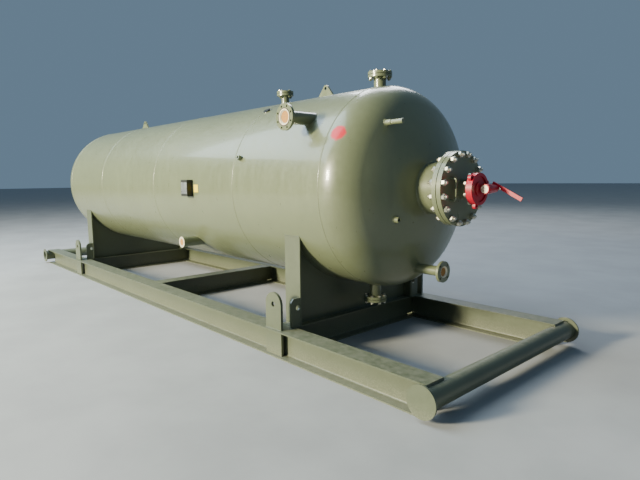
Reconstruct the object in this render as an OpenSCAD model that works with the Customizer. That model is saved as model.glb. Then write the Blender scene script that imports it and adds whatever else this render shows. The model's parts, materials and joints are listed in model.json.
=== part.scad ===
// Skid-mounted horizontal pressure tank, in millimetres.
// X runs along the tank towards the manway, Y across it, Z up from the ground.
// The origin lies on the ground under the middle of the skid.

/* [Vessel] */
// Inner diameter of the shell
shell_id = 1829; // [1700:1:1900]
// Thickness of the shell and head plate
shell_t = 19; // [10:1:30]
// Length of the shell between the head weld seams
shell_l = 6450; // [6200:10:6700]
// Length of the shell course at the manway end
first_course_l = 1300; // [1150:10:1450]
// Length of each of the two middle shell courses
mid_course_l = 1840; // [1600:10:2000]
// Straight flange of a head, before its knuckle
head_flange = 25; // [10:1:60]
// Crown radius of a head, as a share of the inner diameter
crown_share = 0.9; // [0.85:0.01:1]
// Knuckle radius of a head, as a share of the inner diameter
knuckle_share = 0.17; // [0.14:0.01:0.2]
// Height of the tank's axis above the ground
axis_h = 1514; // [1460:1:1600]
// Distance that the tank sits back from the middle of the skid
tank_setback = 0; // [-100:1:200]

/* [Manway] */
// Outer diameter of the manway neck
manway_neck_od = 457; // [420:1:480]
// Wall of the manway neck
manway_neck_t = 9.5; // [6:0.5:14]
// Distance of the manway cover's outer face from the head weld seam
manway_reach = 781; // [740:1:840]
// Outer diameter of the manway flange and cover
manway_flange_od = 635; // [620:1:660]
// Thickness of the manway flange and of the cover
manway_flange_t = 39.7; // [30:0.1:50]
// Bolt circle of the manway flange
manway_pcd = 577.9; // [560:0.1:590]
// Number of manway bolts
manway_bolts = 16; // [12:4:20]
// Diameter of the manway bolt holes
manway_hole_d = 31.8; // [26:0.1:36]
// Diameter of the manway's raised face
manway_face_d = 533; // [500:1:540]
// Length of the cover's lifting handle
handle_l = 180; // [140:1:220]
// Reach of the handle from the cover
handle_reach = 62; // [40:1:90]
// Diameter of the handle's bar
handle_d = 16; // [10:1:22]
// Distance of the handle from the cover's centre
handle_offset = 172; // [160:1:200]
// Bend radius of the handle's bar
handle_bend = 22; // [18:1:26]

/* [Valve] */
// Outer diameter of the pipe between cover and valve
valve_pipe_od = 168.3; // [150:0.1:180]
// Distance from the cover to the valve's back face
valve_standoff = 113; // [90:1:130]
// Thickness of the valve body
valve_body_t = 55; // [50:1:65]
// Outer diameter of the valve body
valve_body_od = 265; // [262:1:275]
// Inner diameter of the rim on the valve's face
valve_rim_id = 212; // [190:1:216]
// Depth of the face inside the rim
valve_recess = 10; // [4:1:14]
// Diameter of the hub in the middle of the face
valve_hub_d = 120; // [100:1:140]
// Bolt circle of the valve
valve_pcd = 241.3; // [238:0.1:244]
// Diameter of the threaded bolt holes
valve_hole_d = 19; // [12:0.5:20]
// Depth of the threaded bolt holes
valve_hole_l = 30; // [20:1:36]
// Number of the valve's bolts
valve_bolts = 8; // [4:4:8]
// Distance of an ear's hole from the valve's axis
ear_reach = 142; // [136:1:150]
// Width of an ear
ear_d = 46; // [40:1:52]
// Thickness of an ear
ear_t = 27; // [16:1:34]
// Hole in an ear
ear_hole_d = 18; // [12:1:22]
// Diameter of the stem barrel across the valve's face
barrel_d = 84; // [82:1:92]
// Length of the stem barrel
barrel_l = 172; // [160:1:200]
// Length of the barrel before its taper
barrel_straight = 55; // [40:1:90]
// Diameter of the barrel at the lever
barrel_end_d = 58; // [54:1:66]
// Diameter of the bare cap on the barrel's end
cap_d = 79; // [60:0.5:79]
// Diameter of the lever's stem
stem_d = 22; // [16:1:24]
// Height of the stem over the barrel's axis
stem_rise = 12; // [6:1:14]
// Length of the lever from its stem
lever_l = 245; // [200:1:320]
// Length of the lever's tail on the other side of the stem
lever_tail = 45; // [20:1:60]
// Width of the lever's bar
lever_w = 32; // [18:1:36]
// Width across the corners of the clamp on the stem
lever_hub_d = 46; // [38:1:56]
// Angle of the lever below the tank's axis
lever_drop = 27; // [5:1:60]

/* [Nozzles] */
// Outer diameter of the 4 in pipe
pipe4_od = 114.3; // [108:0.1:120]
// Outer diameter of the 4 in flange
flange4_od = 228.6; // [215:0.1:240]
// Thickness of the 4 in flange
flange4_t = 23.9; // [16:0.1:30]
// Bolt circle of the 4 in flange
flange4_pcd = 190.5; // [184:0.1:196]
// Raised face of the 4 in flange
flange4_face = 157; // [145:1:162]
// Outer diameter of the 3 in pipe
pipe3_od = 88.9; // [82:0.1:95]
// Outer diameter of the 3 in flange
flange3_od = 190.5; // [180:0.1:200]
// Thickness of the 3 in flange
flange3_t = 23.9; // [16:0.1:30]
// Bolt circle of the 3 in flange
flange3_pcd = 152.4; // [149:0.1:158]
// Raised face of the 3 in flange
flange3_face = 127; // [118:1:130]
// Diameter of the bolt holes in the nozzle flanges
nozzle_hole_d = 19.1; // [15:0.1:21]
// Wall of the nozzle pipes
nozzle_wall = 6; // [5:0.1:10]
// Height of every raised face
raised_face = 2; // [1:0.1:3]
// Thickness of every gasket
gasket_t = 3; // [1.5:0.1:5]
// Near top nozzle, distance back from the near weld seam
near_top_back = 132; // [125:1:170]
// Far top nozzle, distance back from the near weld seam
far_top_back = 1570; // [1520:1:1680]
// Height of the top nozzles' flange faces above the shell
top_rise = 126; // [100:1:180]
// Side nozzle, distance back from the near weld seam
side_back = 343; // [300:1:400]
// Height of the side nozzle above the tank's axis
side_rise = 623; // [580:1:650]
// Distance of the side nozzle's face from the tank's centre line
side_reach = 1000; // [960:1:1040]
// Bottom nozzle, distance back from the near weld seam
bottom_back = 180; // [150:1:220]
// Distance of the bottom nozzle's flange face below the shell
bottom_drop = 168; // [140:1:220]
// Drain nozzle, distance below the tank's axis
drain_drop = 732; // [700:1:760]
// Drain nozzle, distance of its face from the near weld seam
drain_reach = 623; // [590:1:660]
// Depth of the tapered mouth of the side and drain nozzles
mouth_l = 11; // [6:1:14]
// Diameter of the mouth in the side nozzle's face
side_mouth_d = 125; // [114:1:140]
// Diameter of the mouth in the drain nozzle's face
drain_mouth_d = 98; // [90:1:110]
// Depth of the plugs in these two nozzles behind their faces
plug_in = 12; // [12:1:60]
// Side stub, distance back from the near weld seam
stub_back = 2477; // [2420:1:2540]
// Side stub, distance below the tank's axis
stub_drop = 659; // [620:1:700]
// Side stub, distance of its end from the tank's centre line
stub_reach = 910; // [880:1:940]
// Outer diameter of the collar on the stub's end
stub_collar_od = 132; // [126:1:140]
// Length of the collar on the stub's end
stub_collar_l = 58; // [40:1:70]
// Bore of the collar
stub_bore = 82; // [76:1:96]
// Length of the drain nozzle's tapered hub
drain_hub_l = 42; // [20:1:50]
// Thickness of the plywood plugs
plug_t = 9; // [6:1:14]

/* [Fittings] */
// Outer diameter of the small couplings
coupling_d = 50; // [40:1:60]
// Bore of the small couplings
coupling_bore = 27; // [16:1:32]
// Height of the small couplings
coupling_l = 42; // [28:1:48]
// Outer diameter of the large coupling on the shoulder
big_coupling_d = 76; // [66:1:84]
// Bore of the large coupling
big_coupling_bore = 60; // [50:1:64]
// Height of the large coupling
big_coupling_l = 13; // [10:1:30]
// Length of the plugged nipple on the head
nipple_l = 118; // [90:1:150]
// Outer diameter of the plugged nipple
nipple_d = 42; // [36:1:46]
// Width of the nameplate bracket
bracket_w = 145; // [120:1:180]
// Height of the nameplate bracket
bracket_h = 186; // [160:1:230]
// Distance of the bracket's face from the shell
bracket_depth = 68; // [50:1:110]
// Plate thickness of the bracket
bracket_t = 5; // [3:0.5:8]
// Length of a lifting lug on the shell
lug_l = 236; // [200:1:280]
// Height of a lifting lug
lug_h = 132; // [110:1:160]
// Plate thickness of a lifting lug
lug_t = 25; // [16:1:32]
// Hole in a lifting lug
lug_hole_d = 34; // [24:1:44]

/* [Saddles] */
// Distance of each saddle from the head weld seam next to it
saddle_back = 470; // [420:5:560]
// Width of a saddle's end plates along the tank
saddle_w = 215; // [190:1:240]
// Distance between the outer faces of a saddle's end plates
saddle_span = 1660; // [1600:1:1700]
// Plate thickness of the saddles
saddle_t = 16; // [12:1:25]
// Reach of the tie lugs outside the end plates
tie_reach = 110; // [90:1:130]
// Height of the tie lugs
tie_h = 272; // [230:1:300]
// Plate thickness of the tie lugs
tie_t = 20; // [16:1:32]
// Hole in the tie lugs
tie_hole_d = 48; // [24:1:52]
// Distance of that hole from the end plate
tie_hole_out = 31; // [28:1:60]
// Height of that hole over the skid
tie_hole_h = 182; // [140:1:200]

/* [Skid] */
// Distance between the centres of the end pipes
skid_l = 8918; // [8700:1:9100]
// Overall width across the rails
skid_w = 2180; // [2140:1:2240]
// Depth of the skid's beams
beam_h = 250; // [240:1:258]
// Width of the beams' flanges
beam_w = 200; // [190:1:206]
// Thickness of the beams' flanges
beam_tf = 11; // [9:0.5:14]
// Thickness of the beams' webs
beam_tw = 8; // [6:0.5:10]
// Root radius of the beams
beam_r = 13; // [8:1:16]
// Outer diameter of the end pipes
end_pipe_od = 168.3; // [150:0.1:170]
// Wall of the end pipes
end_pipe_t = 8; // [6:0.5:14]
// Height of the end pipes' centres above the ground
end_pipe_h = 148; // [140:1:151]
// Diameter of the discs and rings on the pipe ends
end_disc_d = 240; // [215:1:250]
// Thickness of the discs and rings
end_disc_t = 15; // [10:1:20]
// Distance of the discs' outer faces beyond the rails
end_disc_out = 60; // [50:1:80]
// Distance of the middle cross-member back from the skid's middle
middle_back = 0; // [-200:1:200]
// Distance from an end pipe's centre to the end of the rail's web below it
rail_trim = 70; // [40:1:80]
// Width of a pad eye
eye_w = 222; // [200:1:240]
// Height of a pad eye above the rail
eye_rise = 340; // [300:1:380]
// Plate thickness of a pad eye
eye_t = 25.4; // [20:0.1:40]
// Hole in a pad eye
eye_hole_d = 50; // [40:1:60]
// Height of that hole over the rail
eye_hole_h = 230; // [190:1:250]
// Distance of a pad eye's outer face from the rail's outer edge
eye_inset = 35; // [30:1:40]
// Distance of a pad eye's centre from the saddle's, towards the middle
eye_back = 12; // [0:1:40]

/* [Hidden] */
$fn = 96;

// Clearance between pieces that seat on each other's curved faces
seat_gap = 0.3;
// Overlap that makes a cut run past a face
past = 1;
// Number of sides of small round holes
hole_fn = 32;

olive = "#7f8468";
steel = "#9a9c9c";
red = "#b3202b";
wood = "#c9a877";

shell_ri = shell_id / 2;
shell_ro = shell_ri + shell_t;
near_seam = -tank_setback + shell_l / 2;
far_seam = -tank_setback - shell_l / 2;
shell_top = axis_h + shell_ro;
shell_bottom = axis_h - shell_ro;
course_2 = near_seam - first_course_l;
course_3 = course_2 - mid_course_l;
course_4 = course_3 - mid_course_l;

// Centre heights of the crown and knuckle arcs, measured along the head's axis from its tangent line
crown_r = crown_share * shell_id;
knuckle_r = knuckle_share * shell_id;
knuckle_c = shell_ri - knuckle_r;
crown_c = -sqrt(pow(crown_r - knuckle_r, 2) - pow(knuckle_c, 2));

manway_face = near_seam + manway_reach;
joint_gap = 2 * raised_face + gasket_t;
manway_joint = manway_face - manway_flange_t;
manway_bore = manway_neck_od - 2 * manway_neck_t;

valve_back = manway_face + valve_standoff;
valve_front = valve_back + valve_body_t;
valve_bore = valve_pipe_od - 2 * nozzle_wall;
barrel_x = valve_front + barrel_d / 2 + seat_gap;
// Depth of the cap in the barrel, and how far it stands out
cap_depth = 14;
cap_out = 6;
stem_depth = 40;
pin_gap = 0.3;
lever_gap = 6;
lever_t = 12;
lever_y = barrel_l + lever_gap;
// Height of the bar's middle over the stem, and length of the clamp in front of the bar
lever_rise = 15;
lever_clamp = 8;
// Ears of the valve, turned from the bottom of the body
ear_turn = -11;
ears = 3;
ear_back = 16;

near_top_x = near_seam - near_top_back;
far_top_x = near_seam - far_top_back;
top_face = shell_top + top_rise;
side_x = near_seam - side_back;
side_z = axis_h + side_rise;
bottom_x = near_seam - bottom_back;
bottom_face = shell_bottom - bottom_drop;
drain_z = axis_h - drain_drop;
drain_face = near_seam + drain_reach;
stub_x = near_seam - stub_back;
stub_z = axis_h - stub_drop;

near_saddle_x = near_seam - saddle_back;
far_saddle_x = far_seam + saddle_back;
saddle_base = beam_h;
rail_y = (skid_w - beam_w) / 2;
pipe_x = skid_l / 2;

// Places of the couplings: distance ahead of the first shell seam and angle above the horizontal
small_coupling_ahead = 107;
small_coupling_angle = 18.6;
big_coupling_ahead = 33;
big_coupling_angle = 58.5;
// Places of the fittings on the near head
head_coupling_y = -432;
head_coupling_z = -254;
nipple_y = -452;
nipple_z = 555;
// Length of a fitting inside its shell before the cut that fits it to the curve
buried = 24;
// Reach of the nozzle pipes inside the shell
top_in = 10;
side_in = 20;
drain_in = 30;
// Places of the lifting lugs, back from the near seam
near_lug_back = 876;
far_lug_back = 5387;
// Place of the nameplate bracket, back from the near seam, and its height over the axis
bracket_back = 2188;
bracket_rise = -5;
// Corner that is cut off a tie lug
tie_corner_l = 30;
tie_corner_h = 36;

module along_x() { rotate([0, 90, 0]) children(); }
module along_front() { rotate([90, 0, 0]) children(); }

// A ring of holes through z = 0 to z = h, straddling the centre lines
module bolt_holes(pcd, count, d, h) {
    for (i = [0 : count - 1])
        rotate((i + 0.5) * 360 / count)
            translate([pcd / 2, 0, -past])
                cylinder(d = d, h = h + 2 * past, $fn = hole_fn);
}

module tube(od, id, h) {
    difference() {
        cylinder(d = od, h = h);
        translate([0, 0, -past])
            cylinder(d = id, h = h + 2 * past);
    }
}

// A drilled flange with its back at z = 0 and its raised face on the top
module flange(od, t, id, pcd, count, hole_d, face_d) {
    difference() {
        union() {
            cylinder(d = od, h = t);
            cylinder(d = face_d, h = t + raised_face);
        }
        translate([0, 0, -past])
            cylinder(d = id, h = t + raised_face + 2 * past);
        bolt_holes(pcd, count, hole_d, t);
    }
}

// A drilled blind flange with its raised face downwards at z = 0
module blind(od, t, pcd, count, hole_d, face_d) {
    difference() {
        union() {
            translate([0, 0, raised_face])
                cylinder(d = od, h = t);
            cylinder(d = face_d, h = t);
        }
        translate([0, 0, raised_face])
            bolt_holes(pcd, count, hole_d, t);
    }
}

// A nozzle along +Z from its root to the raised face at z = 0, with a tapered mouth if one is given
module nozzle(root, pipe_od, od, t, pcd, count, face_d, hub, mouth = 0) {
    back = -raised_face - t;
    bore = pipe_od - 2 * nozzle_wall;
    slope = (mouth - bore) / mouth_l;
    difference() {
        union() {
            translate([0, 0, -root])
                cylinder(d = pipe_od, h = root);
            translate([0, 0, back])
                flange(od, t, pipe_od - 1, pcd, count, nozzle_hole_d, face_d);
            translate([0, 0, back - hub])
                cylinder(d1 = pipe_od, d2 = pipe_od + 0.55 * (od - pipe_od) / 2, h = hub);
        }
        translate([0, 0, -root - past])
            cylinder(d = bore, h = root + 2 * past);
        if (mouth > bore)
            translate([0, 0, -mouth_l - past])
                cylinder(d1 = bore - slope * past, d2 = mouth + slope * past, h = mouth_l + 2 * past);
    }
}

// Half of a head's section, grown by a plate thickness, with its axis along +Y of the sketch
module head_section(grow) {
    reach = 2 * crown_r;
    slope = [knuckle_c, -crown_c] / norm([knuckle_c, -crown_c]);
    intersection() {
        union() {
            intersection() {
                translate([0, crown_c])
                    circle(r = crown_r + grow, $fn = 360);
                polygon([[0, crown_c], [0, crown_c] + reach * slope, [0, reach]]);
            }
            translate([knuckle_c, 0])
                circle(r = knuckle_r + grow, $fn = 180);
            square([knuckle_c, knuckle_r]);
        }
        square([reach, reach]);
    }
}

module head_solid(grow) {
    rotate_extrude($fn = 180)
        union() {
            translate([0, head_flange])
                head_section(grow);
            square([shell_ri + grow, head_flange]);
        }
}

// Every hole through the shell and heads, as solids that are cut from the plate
module shell_cuts() {
    gap = 2 * seat_gap;
    long = shell_ro + past;
    for (x = [near_top_x, far_top_x])
        translate([x, 0, axis_h])
            cylinder(d = (x == near_top_x ? pipe4_od : pipe3_od) + gap, h = long);
    translate([bottom_x, 0, axis_h - long])
        cylinder(d = pipe4_od + gap, h = long);
    translate([side_x, 0, side_z])
        along_front()
            cylinder(d = pipe4_od + gap, h = long);
    translate([stub_x, 0, stub_z])
        along_front()
            cylinder(d = pipe4_od + gap, h = long);
    for (place = coupling_places)
        translate([place[0], 0, axis_h])
            rotate([90 - place[1], 0, 0])
                cylinder(d = place[3], h = long, $fn = hole_fn);
    translate([near_seam, 0, axis_h])
        along_x()
            cylinder(d = manway_neck_od + gap, h = long);
    translate([near_seam, 0, drain_z])
        along_x()
            cylinder(d = pipe3_od + gap, h = long);
}

// Place along X, angle above the horizontal on the front side, outer diameter, bore and height
coupling_places = [
    [course_2 + small_coupling_ahead, small_coupling_angle, coupling_d, coupling_bore, coupling_l],
    [course_2 + big_coupling_ahead, big_coupling_angle, big_coupling_d, big_coupling_bore,
     big_coupling_l]
];

module shell_course(from, to) {
    color(olive)
        difference() {
            translate([from, 0, axis_h])
                along_x()
                    tube(2 * shell_ro, 2 * shell_ri, to - from, $fn = 180);
            shell_cuts();
        }
}

module shell_course_1() { shell_course(course_2, near_seam); }
module shell_course_2() { shell_course(course_3, course_2); }
module shell_course_3() { shell_course(course_4, course_3); }
module shell_course_4() { shell_course(far_seam, course_4); }

module head() {
    difference() {
        head_solid(shell_t);
        translate([0, 0, -past])
            cylinder(r = shell_ri, h = past + 0.01);
        head_solid(0);
    }
}

module near_head() {
    color(olive)
        difference() {
            translate([near_seam, 0, axis_h])
                along_x()
                    head();
            shell_cuts();
        }
}

module far_head() {
    color(olive)
        translate([far_seam, 0, axis_h])
            rotate([0, -90, 0])
                head();
}

// Depth of the head's outside over its seam at a distance r from the axis, on the crown
function crown_depth(r, grow) = head_flange + crown_c + sqrt(pow(crown_r + grow, 2) - r * r);
// The same on the knuckle
function knuckle_depth(r, grow) =
    head_flange + sqrt(pow(knuckle_r + grow, 2) - pow(r - knuckle_c, 2));

module manway_neck() {
    root = near_seam + crown_depth(manway_neck_od / 2, 0) - 20;
    color(olive)
        translate([root, 0, axis_h])
            along_x()
                tube(manway_neck_od, manway_bore, manway_joint - joint_gap - root);
}

module manway_flange() {
    color(olive)
        translate([manway_joint - joint_gap - manway_flange_t, 0, axis_h])
            along_x()
                flange(manway_flange_od, manway_flange_t, manway_neck_od + 2 * seat_gap, manway_pcd,
                       manway_bolts, manway_hole_d, manway_face_d);
}

module manway_gasket() {
    color("dimgray")
        translate([manway_joint - raised_face - gasket_t, 0, axis_h])
            along_x()
                tube(manway_face_d, manway_neck_od + 6, gasket_t);
}

module manway_cover() {
    color(olive)
        translate([manway_joint - raised_face, 0, axis_h])
            along_x()
                difference() {
                    blind(manway_flange_od, manway_flange_t, manway_pcd, manway_bolts,
                          manway_hole_d, manway_face_d);
                    translate([0, 0, -past])
                        cylinder(d = valve_bore, h = manway_flange_t + raised_face + 2 * past);
                }
}

// A bar bent into a U that stands on the cover
module manway_handle() {
    leg = handle_reach - handle_bend - handle_d / 2;
    span = handle_l / 2 - handle_bend;
    color(olive)
        translate([manway_face, -handle_offset, axis_h])
            for (s = [-1, 1])
                mirror([0, 0, s > 0 ? 0 : 1])
                    union() {
                        translate([0, 0, span + handle_bend])
                            along_x()
                                cylinder(d = handle_d, h = leg + 0.01, $fn = hole_fn);
                        translate([leg, 0, span])
                            rotate([-90, 0, 0])
                                rotate([0, 0, -90])
                                    rotate_extrude(angle = 90, $fn = 64)
                                        translate([handle_bend, 0])
                                            circle(d = handle_d, $fn = hole_fn);
                        translate([leg + handle_bend, 0, 0])
                            cylinder(d = handle_d, h = span, $fn = hole_fn);
                    }
}

module valve_nozzle() {
    color(olive)
        translate([manway_face, 0, axis_h])
            along_x()
                tube(valve_pipe_od, valve_bore, valve_standoff - seat_gap);
}

// One ear with its hole, reaching out from the valve's axis along X
module valve_ear() {
    inner = valve_rim_id / 2;
    translate([inner, -ear_d / 2, 0])
        cube([ear_reach - inner, ear_d, ear_t]);
    translate([ear_reach, 0, 0])
        cylinder(d = ear_d, h = ear_t, $fn = 48);
}

// The round body: a rim and a hub round the closed disc, three ears, and threaded holes in its back
module valve_body() {
    ear_places = [for (i = [0 : ears - 1]) ear_turn + i * 360 / ears];
    color(red)
        translate([valve_back, 0, axis_h])
            along_x()
                difference() {
                    union() {
                        cylinder(d = valve_body_od, h = valve_body_t);
                        for (angle = ear_places)
                            rotate(angle)
                                translate([0, 0, ear_back])
                                    valve_ear();
                    }
                    translate([0, 0, valve_body_t - valve_recess])
                        tube(valve_rim_id, valve_hub_d, valve_recess + past);
                    for (angle = ear_places)
                        rotate(angle)
                            translate([ear_reach, 0, ear_back - past])
                                cylinder(d = ear_hole_d, h = ear_t + 2 * past, $fn = hole_fn);
                    for (i = [0 : valve_bolts - 1])
                        rotate((i + 0.5) * 360 / valve_bolts)
                            translate([valve_pcd / 2, 0, -past])
                                cylinder(d = valve_hole_d, h = valve_hole_l + past, $fn = hole_fn);
                }
}

module stem_barrel() {
    color(red)
        translate([barrel_x, 0, axis_h])
            difference() {
                union() {
                    rotate([-90, 0, 0]) {
                        cylinder(d = barrel_d, h = barrel_straight);
                        translate([0, 0, barrel_straight])
                            cylinder(d1 = barrel_d, d2 = barrel_end_d, h = barrel_l - barrel_straight);
                    }
                    translate([-barrel_d / 2, barrel_l / 3, 0])
                        along_x()
                            cylinder(d = barrel_d * 0.9, h = barrel_d / 2);
                }
                translate([0, -past, 0])
                    rotate([-90, 0, 0])
                        cylinder(d = cap_d + 2 * seat_gap, h = cap_depth + past);
                translate([0, barrel_l - stem_depth, stem_rise])
                    rotate([-90, 0, 0])
                        cylinder(d = stem_d + 2 * pin_gap, h = stem_depth + past);
            }
}

module barrel_cap() {
    color(steel)
        translate([barrel_x, -cap_out, axis_h])
            rotate([-90, 0, 0])
                cylinder(d = cap_d, h = cap_depth + cap_out - seat_gap);
}

// The lever with its clamp and stem: it turns about the stem's axis
module valve_lever() {
    color(red)
        translate([barrel_x, lever_y, axis_h + stem_rise])
            rotate([0, lever_drop, 0]) {
                rotate([-90, 0, 0])
                    cylinder(d = lever_hub_d, h = lever_t + lever_clamp, $fn = 6);
                rotate([90, 0, 0])
                    cylinder(d = stem_d, h = stem_depth + lever_gap - 2);
                translate([-lever_tail, 0, lever_rise - lever_w / 2])
                    cube([lever_l + lever_tail, lever_t, lever_w]);
            }
}

module near_top_nozzle() {
    color(olive)
        translate([near_top_x, 0, top_face])
            nozzle(top_face - axis_h - shell_ri + top_in, pipe4_od, flange4_od, flange4_t, flange4_pcd,
                   8, flange4_face, 10);
}

module near_top_blind() {
    color(olive)
        translate([near_top_x, 0, top_face + seat_gap])
            blind(flange4_od, flange4_t, flange4_pcd, 8, nozzle_hole_d, flange4_face);
}

module far_top_nozzle() {
    color(olive)
        translate([far_top_x, 0, top_face])
            nozzle(top_face - axis_h - shell_ri + top_in, pipe3_od, flange3_od, flange3_t, flange3_pcd,
                   4, flange3_face, 10);
}

module far_top_blind() {
    color(olive)
        translate([far_top_x, 0, top_face + seat_gap])
            blind(flange3_od, flange3_t, flange3_pcd, 4, nozzle_hole_d, flange3_face);
}

side_root = side_reach - sqrt(pow(shell_ri, 2) - pow(side_rise, 2)) + side_in;

module side_nozzle() {
    color(olive)
        translate([side_x, -side_reach, side_z])
            along_front()
                nozzle(side_root, pipe4_od, flange4_od, flange4_t, flange4_pcd, 8, flange4_face, 10,
                       side_mouth_d);
}

module side_nozzle_plug() {
    color(wood)
        translate([side_x, -side_reach + plug_in + plug_t, side_z])
            along_front()
                cylinder(d = pipe4_od - 2 * nozzle_wall - 2 * seat_gap, h = plug_t);
}

stub_root = stub_reach - sqrt(pow(shell_ri, 2) - pow(stub_drop, 2)) + side_in;

module side_stub() {
    color(olive)
        translate([stub_x, -stub_reach, stub_z])
            along_front()
                difference() {
                    union() {
                        translate([0, 0, -stub_root])
                            cylinder(d = pipe4_od, h = stub_root - 10);
                        translate([0, 0, -stub_collar_l])
                            cylinder(d = stub_collar_od, h = stub_collar_l);
                    }
                    translate([0, 0, -stub_root - past])
                        cylinder(d = pipe4_od - 2 * nozzle_wall, h = stub_root - stub_collar_l + 2 * past);
                    translate([0, 0, -stub_collar_l])
                        cylinder(d = stub_bore, h = stub_collar_l + past);
                }
}

module side_stub_plug() {
    color(wood)
        translate([stub_x, -stub_reach + plug_t + seat_gap, stub_z])
            along_front()
                cylinder(d = stub_bore - 2 * seat_gap, h = plug_t);
}

drain_root = drain_reach - knuckle_depth(drain_drop, 0) + drain_in;

module drain_nozzle() {
    color(olive)
        translate([drain_face, 0, drain_z])
            along_x()
                nozzle(drain_root, pipe3_od, flange3_od, flange3_t, flange3_pcd, 4, flange3_face,
                       drain_hub_l, drain_mouth_d);
}

module drain_plug() {
    color(wood)
        translate([drain_face - plug_in - plug_t, 0, drain_z])
            along_x()
                cylinder(d = pipe3_od - 2 * nozzle_wall - 2 * seat_gap, h = plug_t);
}

module bottom_nozzle() {
    color(olive)
        translate([bottom_x, 0, bottom_face])
            rotate([180, 0, 0])
                nozzle(shell_bottom + shell_t - bottom_face + top_in, pipe4_od, flange4_od, flange4_t,
                       flange4_pcd, 8, flange4_face, 10);
}

module bottom_blind() {
    color(olive)
        translate([bottom_x, 0, bottom_face - seat_gap])
            rotate([180, 0, 0])
                blind(flange4_od, flange4_t, flange4_pcd, 8, nozzle_hole_d, flange4_face);
}

module head_nipple() {
    r = norm([nipple_y, nipple_z]);
    base = near_seam + crown_depth(r - coupling_d / 2, shell_t) + seat_gap;
    color(olive)
        difference() {
            translate([base - buried, nipple_y, axis_h + nipple_z])
                along_x()
                    union() {
                        cylinder(d = coupling_d, h = coupling_l + buried);
                        cylinder(d = nipple_d, h = coupling_l + buried + nipple_l);
                    }
            translate([near_seam, 0, axis_h])
                along_x()
                    head_solid(shell_t + seat_gap);
        }
}

module coupling(d, bore, h) {
    difference() {
        cylinder(d = d, h = h, $fn = 64);
        translate([0, 0, -past])
            cylinder(d = bore, h = h + 2 * past, $fn = hole_fn);
    }
}

module couplings() {
    color(olive) {
        for (place = coupling_places)
            difference() {
                translate([place[0], 0, axis_h])
                    rotate([90 - place[1], 0, 0])
                        translate([0, 0, shell_ro - buried])
                            coupling(place[2], place[3], place[4] + buried);
                translate([place[0] - coupling_l * 2, 0, axis_h])
                    along_x()
                        cylinder(r = shell_ro + seat_gap, h = coupling_l * 4, $fn = 180);
            }
        difference() {
            translate([near_seam + crown_depth(norm([head_coupling_y, head_coupling_z]), shell_t)
                           - buried,
                       head_coupling_y, axis_h + head_coupling_z])
                along_x()
                    coupling(coupling_d, coupling_bore, coupling_l + buried);
            translate([near_seam, 0, axis_h])
                along_x()
                    head_solid(shell_t + seat_gap);
        }
    }
}

// A folded box, open to the shell, that carries the nameplate
module nameplate_bracket() {
    deep = bracket_depth + shell_ro / 20;
    color("#2f332c")
        difference() {
            translate([near_seam - bracket_back - bracket_w / 2, -shell_ro - bracket_depth,
                       axis_h + bracket_rise - bracket_h / 2])
                difference() {
                    cube([bracket_w, deep, bracket_h]);
                    translate([bracket_t, bracket_t, bracket_t])
                        cube([bracket_w - 2 * bracket_t, deep, bracket_h - 2 * bracket_t]);
                }
            translate([near_seam - bracket_back - bracket_w, 0, axis_h])
                along_x()
                    cylinder(r = shell_ro + seat_gap, h = 2 * bracket_w, $fn = 180);
        }
}

module lifting_lug() {
    nose = 34;
    rotate([90, 0, 0])
        linear_extrude(lug_t, center = true)
            difference() {
                hull() {
                    translate([-lug_l / 2, 0])
                        square([lug_l, 8]);
                    translate([0, lug_h - nose])
                        circle(r = nose, $fn = 32);
                }
                translate([0, lug_h - nose - 2])
                    circle(d = lug_hole_d, $fn = 32);
            }
}

module lifting_lugs() {
    color(olive)
        for (back = [near_lug_back, far_lug_back])
            translate([near_seam - back, 0, shell_top + seat_gap])
                lifting_lug();
}

// Web, end plates and tie lugs of a saddle, welded into one piece
module saddle() {
    half = saddle_span / 2;
    seat_r = shell_ro + seat_gap;
    top = axis_h - sqrt(pow(seat_r, 2) - pow(half, 2)) - saddle_base;
    difference() {
        union() {
            translate([-saddle_t / 2, -half + saddle_t / 2, 0])
                cube([saddle_t, saddle_span - saddle_t, top]);
            for (s = [-1, 1])
                mirror([0, s > 0 ? 1 : 0, 0]) {
                    translate([-saddle_w / 2, -half, 0])
                        cube([saddle_w, saddle_t, top]);
                    translate([saddle_w / 2, -half + past, 0])
                        rotate([0, 0, 180])
                            rotate([90, 0, 90])
                                linear_extrude(tie_t)
                                    difference() {
                                        polygon([[0, 0], [tie_reach + past, 0],
                                                 [tie_reach + past, tie_h - tie_corner_h],
                                                 [tie_reach + past - tie_corner_l, tie_h],
                                                 [0, tie_h]]);
                                        translate([tie_hole_out + past, tie_hole_h])
                                            circle(d = tie_hole_d, $fn = 32);
                                    }
                }
        }
        translate([-saddle_w, 0, axis_h - saddle_base])
            along_x()
                cylinder(r = seat_r, h = 2 * saddle_w, $fn = 180);
    }
}

module near_saddle() { color(olive) translate([near_saddle_x, 0, saddle_base]) saddle(); }
module far_saddle() { color(olive) translate([far_saddle_x, 0, saddle_base]) saddle(); }

// Section of a rolled wide-flange beam, standing on its lower flange
module beam_section() {
    inside = beam_h - 2 * beam_tf;
    difference() {
        translate([-beam_w / 2, 0])
            square([beam_w, beam_h]);
        for (s = [-1, 1])
            mirror([s > 0 ? 1 : 0, 0])
                difference() {
                    translate([beam_tw / 2, beam_tf])
                        square([beam_w, inside]);
                    for (z = [beam_tf, beam_h - beam_tf])
                        translate([beam_tw / 2, z])
                            difference() {
                                translate([-beam_r, -beam_r])
                                    square(2 * beam_r);
                                translate([beam_r, z == beam_tf ? beam_r : -beam_r])
                                    circle(r = beam_r, $fn = 48);
                            }
                }
    }
}

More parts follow.
